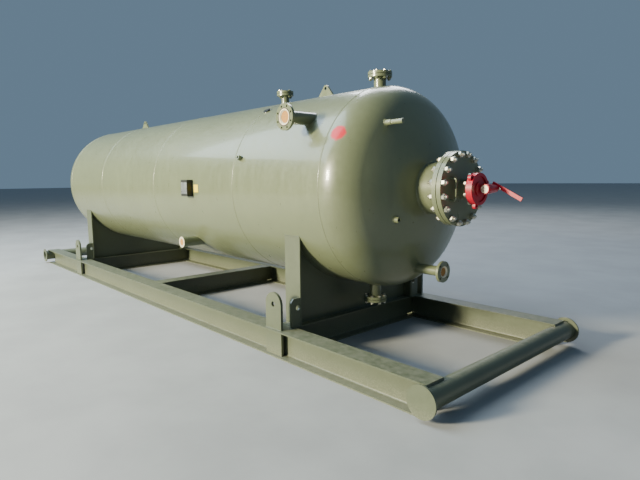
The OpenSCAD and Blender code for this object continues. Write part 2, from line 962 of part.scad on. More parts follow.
// A rail along X with its ends cut round the end pipes and slots for the pad eyes
module rail(side) {
    slot = 2 * seat_gap;
    difference() {
        translate([-pipe_x, side * rail_y, 0])
            rotate([90, 0, 90])
                linear_extrude(2 * pipe_x)
                    beam_section();
        for (x = [-pipe_x, pipe_x])
            translate([x, side * skid_w, end_pipe_h])
                rotate([side * 90, 0, 0])
                    cylinder(d = end_pipe_od + 2 * seat_gap, h = skid_w);
        for (x = [-pipe_x - past, pipe_x - rail_trim])
            translate([x, side * rail_y - beam_w, -past])
                cube([rail_trim + past, 2 * beam_w, end_pipe_h + past]);
        for (x = eye_places)
            translate([x - eye_w / 2 - seat_gap,
                       side > 0 ? skid_w / 2 - eye_inset - eye_t - seat_gap
                                : -skid_w / 2 + eye_inset - seat_gap,
                       beam_h - beam_tf - past])
                cube([eye_w + slot, eye_t + slot, beam_tf + 2 * past]);
    }
}

eye_places = [near_saddle_x - eye_back, far_saddle_x + eye_back];

module front_rail() { color(olive) rail(-1); }
module back_rail() { color(olive) rail(1); }

// A cross-member between the rails, coped so that its web reaches theirs
module cross_member() {
    between = 2 * (rail_y - beam_w / 2 - seat_gap);
    web = 2 * (rail_y - beam_tw / 2 - seat_gap);
    translate([0, between / 2, 0])
        rotate([90, 0, 0])
            linear_extrude(between)
                beam_section();
    translate([-beam_tw / 2, -web / 2, beam_tf + beam_r])
        cube([beam_tw, web, beam_h - 2 * (beam_tf + beam_r)]);
}

module near_cross_member() { color(olive) translate([near_saddle_x, 0, 0]) cross_member(); }
module middle_cross_member() { color(olive) translate([-middle_back, 0, 0]) cross_member(); }
module far_cross_member() { color(olive) translate([far_saddle_x, 0, 0]) cross_member(); }

disc_in = skid_w / 2 + end_disc_out - end_disc_t;

module end_pipe() {
    translate([0, disc_in - seat_gap, end_pipe_h])
        along_front()
            tube(end_pipe_od, end_pipe_od - 2 * end_pipe_t, 2 * (disc_in - seat_gap));
}

module near_end_pipe() { color(olive) translate([pipe_x, 0, 0]) end_pipe(); }
module far_end_pipe() { color(olive) translate([-pipe_x, 0, 0]) end_pipe(); }

// Full discs close the near pipe and open rings finish the far one
module end_discs() {
    color(olive)
        for (side = [-1, 1])
            translate([0, side > 0 ? disc_in + end_disc_t : -disc_in, end_pipe_h])
                along_front() {
                    translate([pipe_x, 0, 0])
                        cylinder(d = end_disc_d, h = end_disc_t);
                    translate([-pipe_x, 0, 0])
                        tube(end_disc_d, end_pipe_od - 2 * end_pipe_t, end_disc_t);
                }
}

// A thick plate with a round top that runs down through the rail's upper flange
module pad_eye() {
    r = eye_w / 2;
    foot = beam_tf + seat_gap;
    top = beam_h + eye_rise;
    difference() {
        union() {
            translate([-r, 0, foot])
                cube([eye_w, eye_t, top - r - foot]);
            translate([0, eye_t, top - r])
                along_front()
                    cylinder(r = r, h = eye_t);
        }
        translate([0, eye_t + past, beam_h + eye_hole_h])
            along_front()
                cylinder(d = eye_hole_d, h = eye_t + 2 * past);
    }
}

module pad_eyes() {
    color(olive)
        for (x = eye_places) {
            translate([x, -skid_w / 2 + eye_inset, 0])
                pad_eye();
            translate([x, skid_w / 2 - eye_inset - eye_t, 0])
                pad_eye();
        }
}

shell_course_1();
shell_course_2();
shell_course_3();
shell_course_4();
near_head();
far_head();
manway_neck();
manway_flange();
manway_gasket();
manway_cover();
manway_handle();
valve_nozzle();
valve_body();
stem_barrel();
barrel_cap();
valve_lever();
near_top_nozzle();
near_top_blind();
far_top_nozzle();
far_top_blind();
side_nozzle();
side_nozzle_plug();
side_stub();
side_stub_plug();
drain_nozzle();
drain_plug();
bottom_nozzle();
bottom_blind();
head_nipple();
couplings();
nameplate_bracket();
lifting_lugs();
near_saddle();
far_saddle();
front_rail();
back_rail();
near_cross_member();
middle_cross_member();
far_cross_member();
near_end_pipe();
far_end_pipe();
end_discs();
pad_eyes();
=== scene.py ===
import json
import math
import random

import bmesh
import bpy
from bpy.props import FloatProperty, PointerProperty, StringProperty
from mathutils import Matrix, Vector


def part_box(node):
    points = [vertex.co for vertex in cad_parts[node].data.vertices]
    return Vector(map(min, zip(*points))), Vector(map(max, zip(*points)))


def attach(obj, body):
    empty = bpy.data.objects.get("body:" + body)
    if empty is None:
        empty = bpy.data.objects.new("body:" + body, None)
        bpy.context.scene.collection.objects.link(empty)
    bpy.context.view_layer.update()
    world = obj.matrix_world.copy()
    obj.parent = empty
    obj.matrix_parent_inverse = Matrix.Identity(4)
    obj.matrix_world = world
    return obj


bl_info = {
    "name": "Skid-mounted pressure tank",
    "version": (1, 0, 0),
    "blender": (4, 5, 0),
    "location": "View3D > Sidebar > Tank",
    "description": "Dresses the tank's frame with weld beads, studs, plates, paint and a studio",
    "category": "Object",
}

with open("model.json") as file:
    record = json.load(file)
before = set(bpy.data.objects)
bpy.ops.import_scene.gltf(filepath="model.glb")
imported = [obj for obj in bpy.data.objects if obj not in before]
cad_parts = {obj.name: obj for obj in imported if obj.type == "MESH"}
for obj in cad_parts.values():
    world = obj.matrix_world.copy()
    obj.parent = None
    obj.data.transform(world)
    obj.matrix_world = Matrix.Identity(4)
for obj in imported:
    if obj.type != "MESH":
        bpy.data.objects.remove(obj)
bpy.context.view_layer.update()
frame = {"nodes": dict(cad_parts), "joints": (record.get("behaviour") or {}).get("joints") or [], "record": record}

MM = 0.001
TANK = "tank"
ROUND = 2 * math.pi
AXIS_X, AXIS_Y, AXIS_Z = Vector((1, 0, 0)), Vector((0, 1, 0)), Vector((0, 0, 1))

# Outer diameters of the pipes
PIPE_3_IN, PIPE_4_IN, PIPE_6_IN, NECK = 88.9 * MM, 114.3 * MM, 168.3 * MM, 457 * MM
# Bolt circles
CIRCLE_3_IN, CIRCLE_4_IN = 152.4 * MM, 190.5 * MM
VALVE_CIRCLE, MANWAY_CIRCLE = 241.3 * MM, 577.9 * MM
# Couplings on the shell: distance ahead of the first course's back seam, angle over the
# horizontal, and radius
SMALL_COUPLING = 107 * MM, math.radians(18.6), 25 * MM
BIG_COUPLING = 33 * MM, math.radians(58.5), 38 * MM
# Fittings on the near head: place across and over the axis, and radius
NIPPLE = -452 * MM, 555 * MM, 25 * MM
HEAD_COUPLING = -432 * MM, -254 * MM, 25 * MM
# Mark sprayed across the near seam: centre and radius
SPRAYED_MARK = Vector((3.327, -0.784, 1.978)), 70 * MM
# Shares of the width across the flats: a nut's height, a bolt head's height, and the radius of
# the round face inside the chamfer
NUT_HEIGHT, HEAD_HEIGHT, ROUND_FACE = 0.61, 0.4, 0.475
# Shares of a stud's diameter and of its pitch
THREAD_PITCH, THREAD_DEPTH = 0.13, 0.6
# A bead's half width as a share of its fillet's leg, round a pipe and on the skid
RING_SHARE, BEAD_SHARE = 0.62, 0.6
SHARP_ANGLE = math.radians(35)
LIGHT_AIM, CAMERA_PLACE = Vector((0, 0, 1.2)), Vector((6.370, -3.772, 1.634))

NOISE, WAVE = "ShaderNodeTexNoise", "ShaderNodeTexWave"
RANGE, MATH, VECTOR_MATH = "ShaderNodeMapRange", "ShaderNodeMath", "ShaderNodeVectorMath"
SHADE, BUMP = "ShaderNodeHueSaturation", "ShaderNodeBump"
# A colour mix takes its factor at input 0 and its colours at 6 and 7, and gives output 2
MIX = "ShaderNodeMix"
EASED = {"interpolation_type": "SMOOTHSTEP"}


def low(node):
    """Lowest corner of a CAD node."""
    return Vector(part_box(node)[0])


def high(node):
    """Highest corner of a CAD node."""
    return Vector(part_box(node)[1])


def middle(node):
    """Centre of a CAD node's box."""
    return (low(node) + high(node)) / 2


def length(name, description, default):
    """A length that a user may change."""
    return FloatProperty(name=name, description=description, default=default, unit="LENGTH")


def tint(name, description, default):
    """A colour that a user may change, as an sRGB hex value."""
    return StringProperty(name=name, description=description, default=default)


class TankSizes(bpy.types.PropertyGroup):
    """Sizes that the dressing shares with the frame."""
    shell_radius: length("Shell radius", "Outer radius of the shell", high("shell_course_2").y)
    axis_height: length("Axis height", "Height of the tank's axis", middle("shell_course_2").z)
    shell_thickness: length("Shell thickness", "Plate thickness of the shell", 19 * MM)
    head_flange: length("Straight flange", "Straight flange of each head", 25 * MM)
    crown_radius: length("Crown radius", "Inner crown radius of each head", 0.9 * 1829 * MM)
    knuckle_radius: length("Knuckle radius", "Inner knuckle radius", 0.17 * 1829 * MM)
    seam_width: length("Seam width", "Width of the shell's weld caps", 17 * MM)
    seam_height: length("Seam height", "Height of the shell's weld caps", 3 * MM)
    fillet: length("Fillet", "Leg of the fillet welds round the nozzles", 11 * MM)
    skid_fillet: length("Skid fillet", "Leg of the skid's fillet welds", 8 * MM)
    saddle_span: length("Saddle span", "Distance over a saddle's end plates", 1660 * MM)
    saddle_plate: length("Saddle plate", "Plate thickness of the saddles", 16 * MM)
    tie_plate: length("Tie plate", "Plate thickness of the tie lugs", 20 * MM)
    tie_height: length("Tie height", "Height of the tie lugs", 272 * MM)
    web_plate: length("Web", "Thickness of the beams' webs", 8 * MM)
    beam_flange: length("Beam flange", "Thickness of the beams' flanges", 9 * MM)
    eye_width: length("Pad eye width", "Width of a pad eye", 222 * MM)
    eye_plate: length("Pad eye plate", "Plate thickness of the pad eyes", 25.4 * MM)
    disc_plate: length("Disc plate", "Plate thickness of the end discs", 15 * MM)
    lug_length: length("Lug length", "Length of a lifting lug on the shell", 236 * MM)
    lug_plate: length("Lug plate", "Plate thickness of the lifting lugs", 25 * MM)


class FastenerSizes(bpy.types.PropertyGroup):
    """Sizes of the studs and nuts."""
    manway_stud: length("Manway stud", "Diameter of the manway's studs", 28.6 * MM)
    manway_nut: length("Manway nut", "Manway nut across its flats", 46 * MM)
    valve_stud: length("Valve stud", "Diameter of the valve's studs", 19 * MM)
    valve_nut: length("Valve nut", "Valve nut across its flats", 31.8 * MM)
    nozzle_stud: length("Nozzle stud", "Diameter of the nozzles' studs", 15.9 * MM)
    nozzle_nut: length("Nozzle nut", "Nozzle nut across its flats", 27 * MM)


class FinishColours(bpy.types.PropertyGroup):
    """Colours of the finishes, as sRGB hex values."""
    enamel: tint("Enamel", "Olive grey of the tank", "#6A7055")
    # Painted shadow: the skid wears the same enamel as the tank, and this olive is set darker than it for a shadow
    # cast over the skid
    skid: tint("Skid paint", "Olive grey of the skid", "#565C48")
    valve_red: tint("Valve red", "Red of the valve", "#B0122A")
    spray_red: tint("Spray red", "Red of the sprayed mark", "#BC0018")
    plywood: tint("Plywood", "Face of the plywood plugs", "#B07C3A")
    dust: tint("Dust", "Limestone dust on the skid", "#A9A592")
    steel: tint("Steel", "Plated steel of the studs", "#D6D3C4")
    bare: tint("Bare steel", "Turned faces left bare", "#E6DCC0")
    tag: tint("Tag", "Yellow vinyl of the blank tag", "#EFD200")
    floor: tint("Floor", "Studio floor", "#9D9E9E")


def sizes():
    return bpy.context.scene.tank_sizes


def fasteners():
    return bpy.context.scene.tank_fasteners


def colours():
    return bpy.context.scene.tank_colours


def linear(hex_colour):
    """Linear colour of an sRGB hex value."""
    parts = [int(hex_colour[i:i + 2], 16) / 255 for i in (1, 3, 5)]
    return [c / 12.92 if c <= 0.04045 else ((c + 0.055) / 1.055) ** 2.4 for c in parts] + [1]


def add(tree, kind, inputs=(), **settings):
    """Adds a node with its settings and inputs. The inputs come in order, or by name or number;
    each is a value, a socket, or a node, which stands for its first output."""
    node = tree.nodes.new(kind)
    for key, value in settings.items():
        setattr(node, key, value)
    for key, value in (inputs.items() if isinstance(inputs, dict) else enumerate(inputs)):
        if isinstance(value, bpy.types.Node):
            value = value.outputs[0]
        if isinstance(value, bpy.types.NodeSocket):
            tree.links.new(value, node.inputs[key])
        else:
            node.inputs[key].default_value = value
    return node


def bare_material(name):
    """A material with an empty node tree; gives it, its tree and the object coordinates."""
    material = bpy.data.materials.new(name)
    material.use_nodes = True
    tree = material.node_tree
    tree.nodes.clear()
    return material, tree, add(tree, "ShaderNodeTexCoord").outputs["Object"]


def coated(material, inputs):
    """Gives a material its shader, with the patterns and values of its surface."""
    shader = add(material.node_tree, "ShaderNodeBsdfPrincipled", inputs)
    add(material.node_tree, "ShaderNodeOutputMaterial", {"Surface": shader})
    return material


def sprayed_enamel(name, colour, mark=None):
    """Alkyd enamel sprayed on blasted plate: a deep gloss with orange peel, and faint streaks
    and dull patches where it weathered."""
    material, tree, place = bare_material(name)
    patches = add(tree, NOISE, {"Vector": place, "Scale": 1 / (650 * MM), "Detail": 3})
    mottle = add(tree, NOISE, {"Vector": place, "Scale": 1 / (55 * MM), "Detail": 4,
                               "Roughness": 0.6})
    drawn_out = add(tree, "ShaderNodeMapping", {"Vector": place, "Scale": (1, 1, 0.12)})
    streaks = add(tree, NOISE, {"Vector": drawn_out, "Scale": 1 / (70 * MM), "Detail": 3,
                                "Roughness": 0.6})
    tone = add(tree, RANGE, [patches, 0.3, 0.7, 0.965, 1.035], **EASED)
    for change in ([mottle, 0.3, 0.7, -0.02, 0.02], [streaks, 0.35, 0.75, -0.02, 0.03]):
        step = add(tree, RANGE, change, **EASED)
        tone = add(tree, MATH, [tone, step], operation="ADD")
    paint = add(tree, SHADE, {"Value": tone, "Color": linear(colour)})
    rough = add(tree, MATH, [add(tree, RANGE, [streaks, 0.3, 0.8, 0.27, 0.37], **EASED),
                             add(tree, RANGE, [mottle, 0.35, 0.75, 0.0, 0.07], **EASED)],
                operation="ADD")
    if mark is not None:
        centre, radius = mark
        distance = add(tree, VECTOR_MATH, [place, centre], operation="DISTANCE").outputs["Value"]
        ragged = add(tree, NOISE, {"Vector": place, "Scale": 1 / (40 * MM), "Detail": 3})
        shift = add(tree, RANGE, [ragged, 0.25, 0.75, -7 * MM, 7 * MM], **EASED)
        edge = add(tree, MATH, [distance, shift], operation="ADD")
        sprayed = add(tree, RANGE, [edge, radius * 0.8, radius * 1.14, 1.0, 0.0], **EASED)
        paint = add(tree, MIX, {0: sprayed, 6: paint, 7: linear(colours().spray_red)},
                    data_type="RGBA").outputs[2]
        duller = add(tree, MATH, [sprayed, 0.25], operation="MULTIPLY")
        rough = add(tree, MATH, [rough, duller], operation="ADD")
    waves = add(tree, NOISE, {"Vector": place, "Scale": 1 / (420 * MM), "Detail": 1})
    plate = add(tree, BUMP, {"Distance": 0.9 * MM, "Height": waves})
    # Orange peel is drawn at 9 mm, about three times its real size, so that it shows
    peel = add(tree, NOISE, {"Vector": place, "Scale": 1 / (9 * MM), "Detail": 2})
    skin = add(tree, BUMP, {"Strength": 0.7, "Distance": 0.1 * MM, "Height": peel,
                            "Normal": plate})
    return coated(material, {"Base Color": paint, "Roughness": rough, "Normal": skin,
                             "Coat Weight": 0.35, "Coat Roughness": 0.09})


def painted_weld(name, colour):
    """Stick-welded beads under the enamel: ripples and lumps that the gloss picks out."""
    material, tree, place = bare_material(name)
    lumps = add(tree, NOISE, {"Vector": place, "Scale": 1 / (16 * MM), "Detail": 2})
    # Ripples are drawn at 5 mm, about twice their real size, so that they show
    ripples = add(tree, NOISE, {"Vector": place, "Scale": 1 / (5 * MM), "Detail": 2})
    tone = add(tree, RANGE, [lumps, 0.3, 0.7, 0.9, 1.03], **EASED)
    bead = add(tree, BUMP, {"Distance": 1.2 * MM, "Height": lumps})
    return coated(material, {
        "Base Color": add(tree, SHADE, {"Value": tone, "Color": linear(colour)}),
        "Roughness": add(tree, RANGE, [ripples, 0.3, 0.7, 0.32, 0.46], **EASED),
        "Normal": add(tree, BUMP, {"Distance": 0.4 * MM, "Height": ripples, "Normal": bead}),
        "Coat Weight": 0.3, "Coat Roughness": 0.12})


def yard_paint(name, colour, dust_on_top=0.3):
    """The same enamel on rolled beams in a gravel yard: duller, with pale dust lying on what
    faces up and splashed near the ground."""
    material, tree, place = bare_material(name)
    mottle = add(tree, NOISE, {"Vector": place, "Scale": 1 / (38 * MM), "Detail": 5,
                               "Roughness": 0.65})
    patches = add(tree, NOISE, {"Vector": place, "Scale": 1 / (320 * MM), "Detail": 3})
    tone = add(tree, MATH, [add(tree, RANGE, [patches, 0.3, 0.7, 0.955, 1.045], **EASED),
                            add(tree, RANGE, [mottle, 0.3, 0.7, -0.035, 0.035], **EASED)],
               operation="ADD")
    paint = add(tree, SHADE, {"Value": tone, "Color": linear(colour)})

    normal = add(tree, "ShaderNodeNewGeometry").outputs["Normal"]
    upward = add(tree, "ShaderNodeSeparateXYZ", [normal]).outputs["Z"]
    drifts = add(tree, NOISE, {"Vector": place, "Scale": 1 / (60 * MM), "Detail": 7,
                               "Roughness": 0.75})
    lying = add(tree, MATH, [add(tree, RANGE, [upward, 0.75, 0.97], **EASED),
                             add(tree, RANGE, [drifts, 0.3, 0.75, 0.0, dust_on_top], **EASED)],
                operation="MULTIPLY")
    height = add(tree, "ShaderNodeSeparateXYZ", [place]).outputs["Z"]
    spatter = add(tree, NOISE, {"Vector": place, "Scale": 1 / (12 * MM), "Detail": 6,
                                "Roughness": 0.75})
    splashed = add(tree, MATH, [add(tree, RANGE, [height, 0.02, 0.17, 1.0, 0.0], **EASED),
                                add(tree, RANGE, [spatter, 0.42, 0.75, 0.04, 0.42], **EASED)],
                   operation="MULTIPLY")
    dust = add(tree, MATH, [lying, splashed], operation="MAXIMUM")

    rough = add(tree, MATH, [add(tree, RANGE, [mottle, 0.3, 0.75, 0.36, 0.48], **EASED),
                             add(tree, MATH, [dust, 0.4], operation="MULTIPLY")],
                operation="ADD")
    marks = add(tree, NOISE, {"Vector": place, "Scale": 1 / (150 * MM), "Detail": 2})
    rolled = add(tree, BUMP, {"Distance": 0.5 * MM, "Height": marks})
    grain = add(tree, NOISE, {"Vector": place, "Scale": 1 / (7 * MM), "Detail": 3})
    return coated(material, {
        "Base Color": add(tree, MIX, {0: dust, 6: paint, 7: linear(colours().dust)},
                          data_type="RGBA").outputs[2],
        "Roughness": rough,
        "Normal": add(tree, BUMP, {"Strength": 0.8, "Distance": 0.12 * MM, "Height": grain,
                                   "Normal": rolled}),
        "Coat Weight": 0.12, "Coat Roughness": 0.2})


def valve_paint(name, colour):
    """Brushed-on safety red over rough cast iron: satin, with grainy casting skin."""
    material, tree, place = bare_material(name)
    grain = add(tree, NOISE, {"Vector": place, "Scale": 1 / (3.2 * MM), "Detail": 3,
                              "Roughness": 0.6})
    patches = add(tree, NOISE, {"Vector": place, "Scale": 1 / (45 * MM), "Detail": 4,
                                "Roughness": 0.6})
    tone = add(tree, MATH, [add(tree, RANGE, [patches, 0.3, 0.7, 0.9, 1.08], **EASED),
                            add(tree, RANGE, [grain, 0.3, 0.7, -0.04, 0.04], **EASED)],
               operation="ADD")
    paint = add(tree, SHADE, {"Value": tone, "Color": linear(colour)})
    flaking = add(tree, NOISE, {"Vector": place, "Scale": 1 / (11 * MM), "Detail": 5,
                                "Roughness": 0.75})
    chips = add(tree, RANGE, [flaking, 0.70, 0.73], **EASED)
    return coated(material, {
        "Base Color": add(tree, MIX, {0: chips, 6: paint, 7: linear("#5B3A33")},
                          data_type="RGBA").outputs[2],
        "Roughness": add(tree, RANGE, [patches, 0.3, 0.7, 0.32, 0.46], **EASED),
        "Normal": add(tree, BUMP, {"Distance": 0.35 * MM, "Height": grain}),
        "Coat Weight": 0.2, "Coat Roughness": 0.15})


def plated_steel(name, colour):
    """Zinc-plated carbon steel gone dull outdoors, with a little brown in the threads."""
    material, tree, place = bare_material(name)
    cloud = add(tree, NOISE, {"Vector": place, "Scale": 1 / (16 * MM), "Detail": 4,
                              "Roughness": 0.65})
    tone = add(tree, RANGE, [cloud, 0.3, 0.7, 0.85, 1.1], **EASED)
    metal = add(tree, SHADE, {"Value": tone, "Color": linear(colour)})
    specks = add(tree, NOISE, {"Vector": place, "Scale": 1 / (7 * MM), "Detail": 5,
                               "Roughness": 0.7})
    brown = add(tree, RANGE, [specks, 0.52, 0.74, 0.0, 0.3], **EASED)
    grain = add(tree, NOISE, {"Vector": place, "Scale": 1 / (1.6 * MM), "Detail": 2})
    return coated(material, {
        "Base Color": add(tree, MIX, {0: brown, 6: metal, 7: linear("#5A4630")},
                          data_type="RGBA").outputs[2],
        "Roughness": add(tree, RANGE, [cloud, 0.3, 0.7, 0.34, 0.55], **EASED),
        "Normal": add(tree, BUMP, {"Distance": 0.05 * MM, "Height": grain}),
        "Metallic": 1.0})


def rotary_cut_plywood(name, colour):
    """Softwood plywood cut with a jigsaw: long wavy grain on the face, layered plies on the
    edge, raw and dry."""
    material, tree, place = bare_material(name)
    drawn_out = add(tree, "ShaderNodeMapping", {"Vector": place, "Scale": (0.14, 1, 1)})
    fibres = add(tree, NOISE, {"Vector": drawn_out, "Scale": 1 / (2.4 * MM), "Detail": 4,
                               "Roughness": 0.6})
    figure = add(tree, WAVE, {"Vector": drawn_out, "Scale": 1 / (26 * MM), "Distortion": 5.0,
                              "Detail": 2.0}, wave_type="BANDS", bands_direction="Z")
    tone = add(tree, MATH, [add(tree, RANGE, [fibres, 0.3, 0.7, -0.07, 0.05], **EASED),
                            add(tree, RANGE, [figure.outputs["Fac"], 0.2, 0.9, 1.03, 0.88],
                                **EASED)], operation="ADD")
    face = add(tree, SHADE, {"Value": tone, "Color": linear(colour)})
    plies = add(tree, WAVE, {"Vector": place, "Scale": 1 / (20 * MM)}, wave_type="BANDS",
                bands_direction="Y")
    normal = add(tree, "ShaderNodeNewGeometry").outputs["Normal"]
    across = add(tree, "ShaderNodeSeparateXYZ", [normal]).outputs["Y"]
    facing = add(tree, MATH, [across], operation="ABSOLUTE")
    dark_plies = add(tree, MATH, [add(tree, RANGE, [facing, 0.3, 0.7, 1.0, 0.0], **EASED),
                                  add(tree, RANGE, [plies.outputs["Fac"], 0.4, 0.6, 0.0, 0.6],
                                      **EASED)], operation="MULTIPLY")
    return coated(material, {
        "Base Color": add(tree, MIX, {0: dark_plies, 6: face, 7: linear("#7A5B38")},
                          data_type="RGBA").outputs[2],
        "Roughness": 0.75,
        "Normal": add(tree, BUMP, {"Distance": 0.25 * MM, "Height": fibres})})


def dark_seating_ring(name):
    """A dark brown ring on a flange's seating face, patchy and half dull."""
    material, tree, place = bare_material(name)
    cloud = add(tree, NOISE, {"Vector": place, "Scale": 1 / (13 * MM), "Detail": 5,
                              "Roughness": 0.7})
    fine = add(tree, NOISE, {"Vector": place, "Scale": 1 / (3 * MM), "Detail": 3,
                             "Roughness": 0.6})
    ring_colour = add(tree, MIX, {0: add(tree, RANGE, [cloud, 0.38, 0.66], **EASED),
                           6: linear("#17120E"), 7: linear("#452C1B")},
               data_type="RGBA").outputs[2]
    tone = add(tree, RANGE, [fine, 0.3, 0.7, 0.85, 1.12], **EASED)
    return coated(material, {
        "Base Color": add(tree, SHADE, {"Value": tone, "Color": ring_colour}),
        "Roughness": add(tree, RANGE, [cloud, 0.3, 0.7, 0.42, 0.8], **EASED),
        "Normal": add(tree, BUMP, {"Distance": 0.12 * MM, "Height": fine})})


def turned_face(name, colour, node, axis, painted_from=None):
    """Carbon steel faced in a lathe and left bare: pale, with fine rings round its centre that
    stretch the highlight, and a thin yellow film of protective oil. Its rim may be painted red."""
    material, tree, place = bare_material(name)
    offset = add(tree, VECTOR_MATH, [place, middle(node)], operation="SUBTRACT")
    across = Vector((1, 1, 1)) - Vector([abs(c) for c in axis])
    flat = add(tree, VECTOR_MATH, [offset, across], operation="MULTIPLY")
    radius = add(tree, VECTOR_MATH, [flat], operation="LENGTH").outputs["Value"]
    # Tool rings are drawn 2.5 mm apart, about six times their real pitch, so that they show
    turns = add(tree, MATH, [radius, ROUND / (2.5 * MM)], operation="MULTIPLY")
    rings = add(tree, MATH, [turns], operation="SINE")
    stains = add(tree, NOISE, {"Vector": place, "Scale": 1 / (18 * MM), "Detail": 4,
                               "Roughness": 0.6})
    tone = add(tree, MATH, [add(tree, RANGE, [stains, 0.3, 0.7, 0.84, 1.05], **EASED),
                            add(tree, MATH, [rings, 0.02], operation="MULTIPLY")],
               operation="ADD")
    metal = add(tree, SHADE, {"Value": tone, "Color": linear(colour)})
    smears = add(tree, NOISE, {"Vector": place, "Scale": 1 / (9 * MM), "Detail": 5,
                               "Roughness": 0.7})
    film = add(tree, RANGE, [smears, 0.55, 0.75, 0.0, 0.45], **EASED)
    face = add(tree, MIX, {0: film, 6: metal, 7: linear("#A98A55")},
               data_type="RGBA").outputs[2]
    if painted_from is not None:
        rim = add(tree, RANGE, [radius, painted_from - MM, painted_from + MM], **EASED)
        face = add(tree, MIX, {0: rim, 6: face, 7: linear(colours().valve_red)},
                   data_type="RGBA").outputs[2]
    return coated(material, {
        "Base Color": face,
        "Roughness": add(tree, RANGE, [stains, 0.3, 0.7, 0.38, 0.55], **EASED),
        "Normal": add(tree, BUMP, {"Distance": 0.02 * MM, "Height": rings}),
        "Metallic": 0.35, "Coat Weight": 0.3, "Coat Roughness": 0.3})


def mottled(name, colour, roughness, metallic=0.0, grain_mm=5, depth_mm=0.08):
    """An even finish with a fine mottle, for small parts and the floor."""
    material, tree, place = bare_material(name)
    grain = add(tree, NOISE, {"Vector": place, "Scale": 1 / (grain_mm * MM), "Detail": 4,
                              "Roughness": 0.6})
    tone = add(tree, RANGE, [grain, 0.3, 0.7, 0.92, 1.06], **EASED)
    return coated(material, {
        "Base Color": add(tree, SHADE, {"Value": tone, "Color": linear(colour)}),
        "Roughness": add(tree, RANGE, [grain, 0.3, 0.7, roughness - 0.05, roughness + 0.07],
                         **EASED),
        "Normal": add(tree, BUMP, {"Distance": depth_mm * MM, "Height": grain}),
        "Metallic": metallic})


finishes = {}


def finish(name):
    """One of the object's finishes, made at its first use."""
    if name in finishes:
        return finishes[name]
    paint = colours()
    makers = {
        "olive enamel": (sprayed_enamel, paint.enamel),
        "marked enamel": (sprayed_enamel, paint.enamel, SPRAYED_MARK),
        "enamelled weld": (painted_weld, paint.enamel),
        # The skid's finishes take the skid colour, darker than the enamel: painted shadow
        "skid weld": (painted_weld, paint.skid),
        "skid enamel": (yard_paint, paint.skid),
        "saddle enamel": (yard_paint, paint.skid, 0.2),
        "red valve paint": (valve_paint, paint.valve_red),
        "zinc plated steel": (plated_steel, paint.steel),
        "turned cap": (turned_face, paint.bare, "barrel_cap", AXIS_Y, 33 * MM),
        "turned side mouth": (turned_face, paint.bare, "side_nozzle_plug", AXIS_Y),
        "turned stub end": (turned_face, paint.bare, "side_stub_plug", AXIS_Y),
        "turned drain mouth": (turned_face, paint.bare, "drain_plug", AXIS_X),
        "rusted seating face": (dark_seating_ring,),
        "plywood": (rotary_cut_plywood, paint.plywood),
        # Moulded polyethylene: dark and half dull
        "moulded cap": (mottled, "#17191A", 0.5, 0.0, 20, 0.05),
        # Compressed fibre: dark and dull
        "fibre gasket": (mottled, "#26262A", 0.8),
        # Rolled stainless sheet: pale, with a soft sheen
        "stainless plate": (mottled, "#B9BCBA", 0.32, 0.85, 30, 0.03),
        # Printed vinyl left blank: clear yellow and half dull
        "yellow vinyl": (mottled, paint.tag, 0.5, 0.0, 25, 0.03),
        # Painted shade: the bracket's enamel is made near black for the shade it stands in behind the plate
        "bracket enamel": (mottled, "#1D1F1B", 0.55),
        # Swept studio floor: pale grey and dull
        "studio floor": (mottled, paint.floor, 0.85, 0.0, 900, 0.0),
    }
    maker, *values = makers[name]
    finishes[name] = maker(name, *values)
    return finishes[name]


def kept_mesh(bm, name):
    """Stores a bmesh as a mesh, and frees it."""
    mesh = bpy.data.meshes.new(name)
    bm.to_mesh(mesh)
    bm.free()
    return mesh


def as_piece(name, bm, material, body=TANK):
    """Turns a bmesh into a finished piece that rides on a body."""
    bmesh.ops.remove_doubles(bm, verts=bm.verts, dist=1e-6)
    bmesh.ops.holes_fill(bm, edges=[e for e in bm.edges if e.is_boundary], sides=0)
    bmesh.ops.recalc_face_normals(bm, faces=bm.faces)
    mesh = kept_mesh(bm, name)
    piece = bpy.data.objects.new(name, mesh)
    bpy.context.collection.objects.link(piece)
    mesh.materials.append(finish(material))
    mesh.shade_smooth()
    mesh.set_sharp_from_angle(angle=SHARP_ANGLE)
    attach(piece, body)


def placed(origin, axis):
    """Matrix that puts a piece's own +Z along axis at origin."""
    return Matrix.Translation(origin) @ axis.to_track_quat("Z", "Y").to_matrix().to_4x4()


def add_copy(bm, mesh, matrix):
    """Adds a mesh to a bmesh at a matrix."""
    before = len(bm.verts)
    bm.from_mesh(mesh)
    bm.verts.ensure_lookup_table()
    bmesh.ops.transform(bm, matrix=matrix, verts=bm.verts[before:])


def turned(bm, points, steps, axis=AXIS_Z, centre=Vector(), angle=ROUND):
    """Spins an outline of points round an axis, moves it to centre and gives its vertices."""
    before = set(bm.verts)
    outline = [bm.verts.new(p) for p in points]
    edges = [bm.edges.new(pair) for pair in zip(outline, outline[1:])]
    bmesh.ops.spin(bm, geom=outline + edges, cent=Vector(), axis=axis, angle=angle, steps=steps,
                   use_merge=abs(angle - ROUND) < 1e-6, use_duplicate=False)
    made = [v for v in bm.verts if v not in before]
    bmesh.ops.translate(bm, verts=made, vec=centre)
    return made


def turned_part(bm, centre, axis, points, steps):
    """Turns a small part on an axis. points give its outline as distances from the axis and
    heights over the centre, in millimetres."""
    side = axis.orthogonal().normalized()
    turned(bm, [side * r * MM + axis * h * MM for r, h in points], steps, axis, centre)


def ring_bead(bm, centre, axis, radius, across, along, steps=96, sides=10, start=None,
              angle=ROUND):
    """A weld bead round an axis, or an arc of it from the direction start; across is its half
    height and along its half width."""
    side = start or axis.orthogonal().normalized()
    outline = [side * (radius + across * math.cos(a)) + axis * along * math.sin(a)
               for a in [i * ROUND / sides for i in range(sides + 1)]]
    return turned(bm, outline, steps, axis, centre, angle)


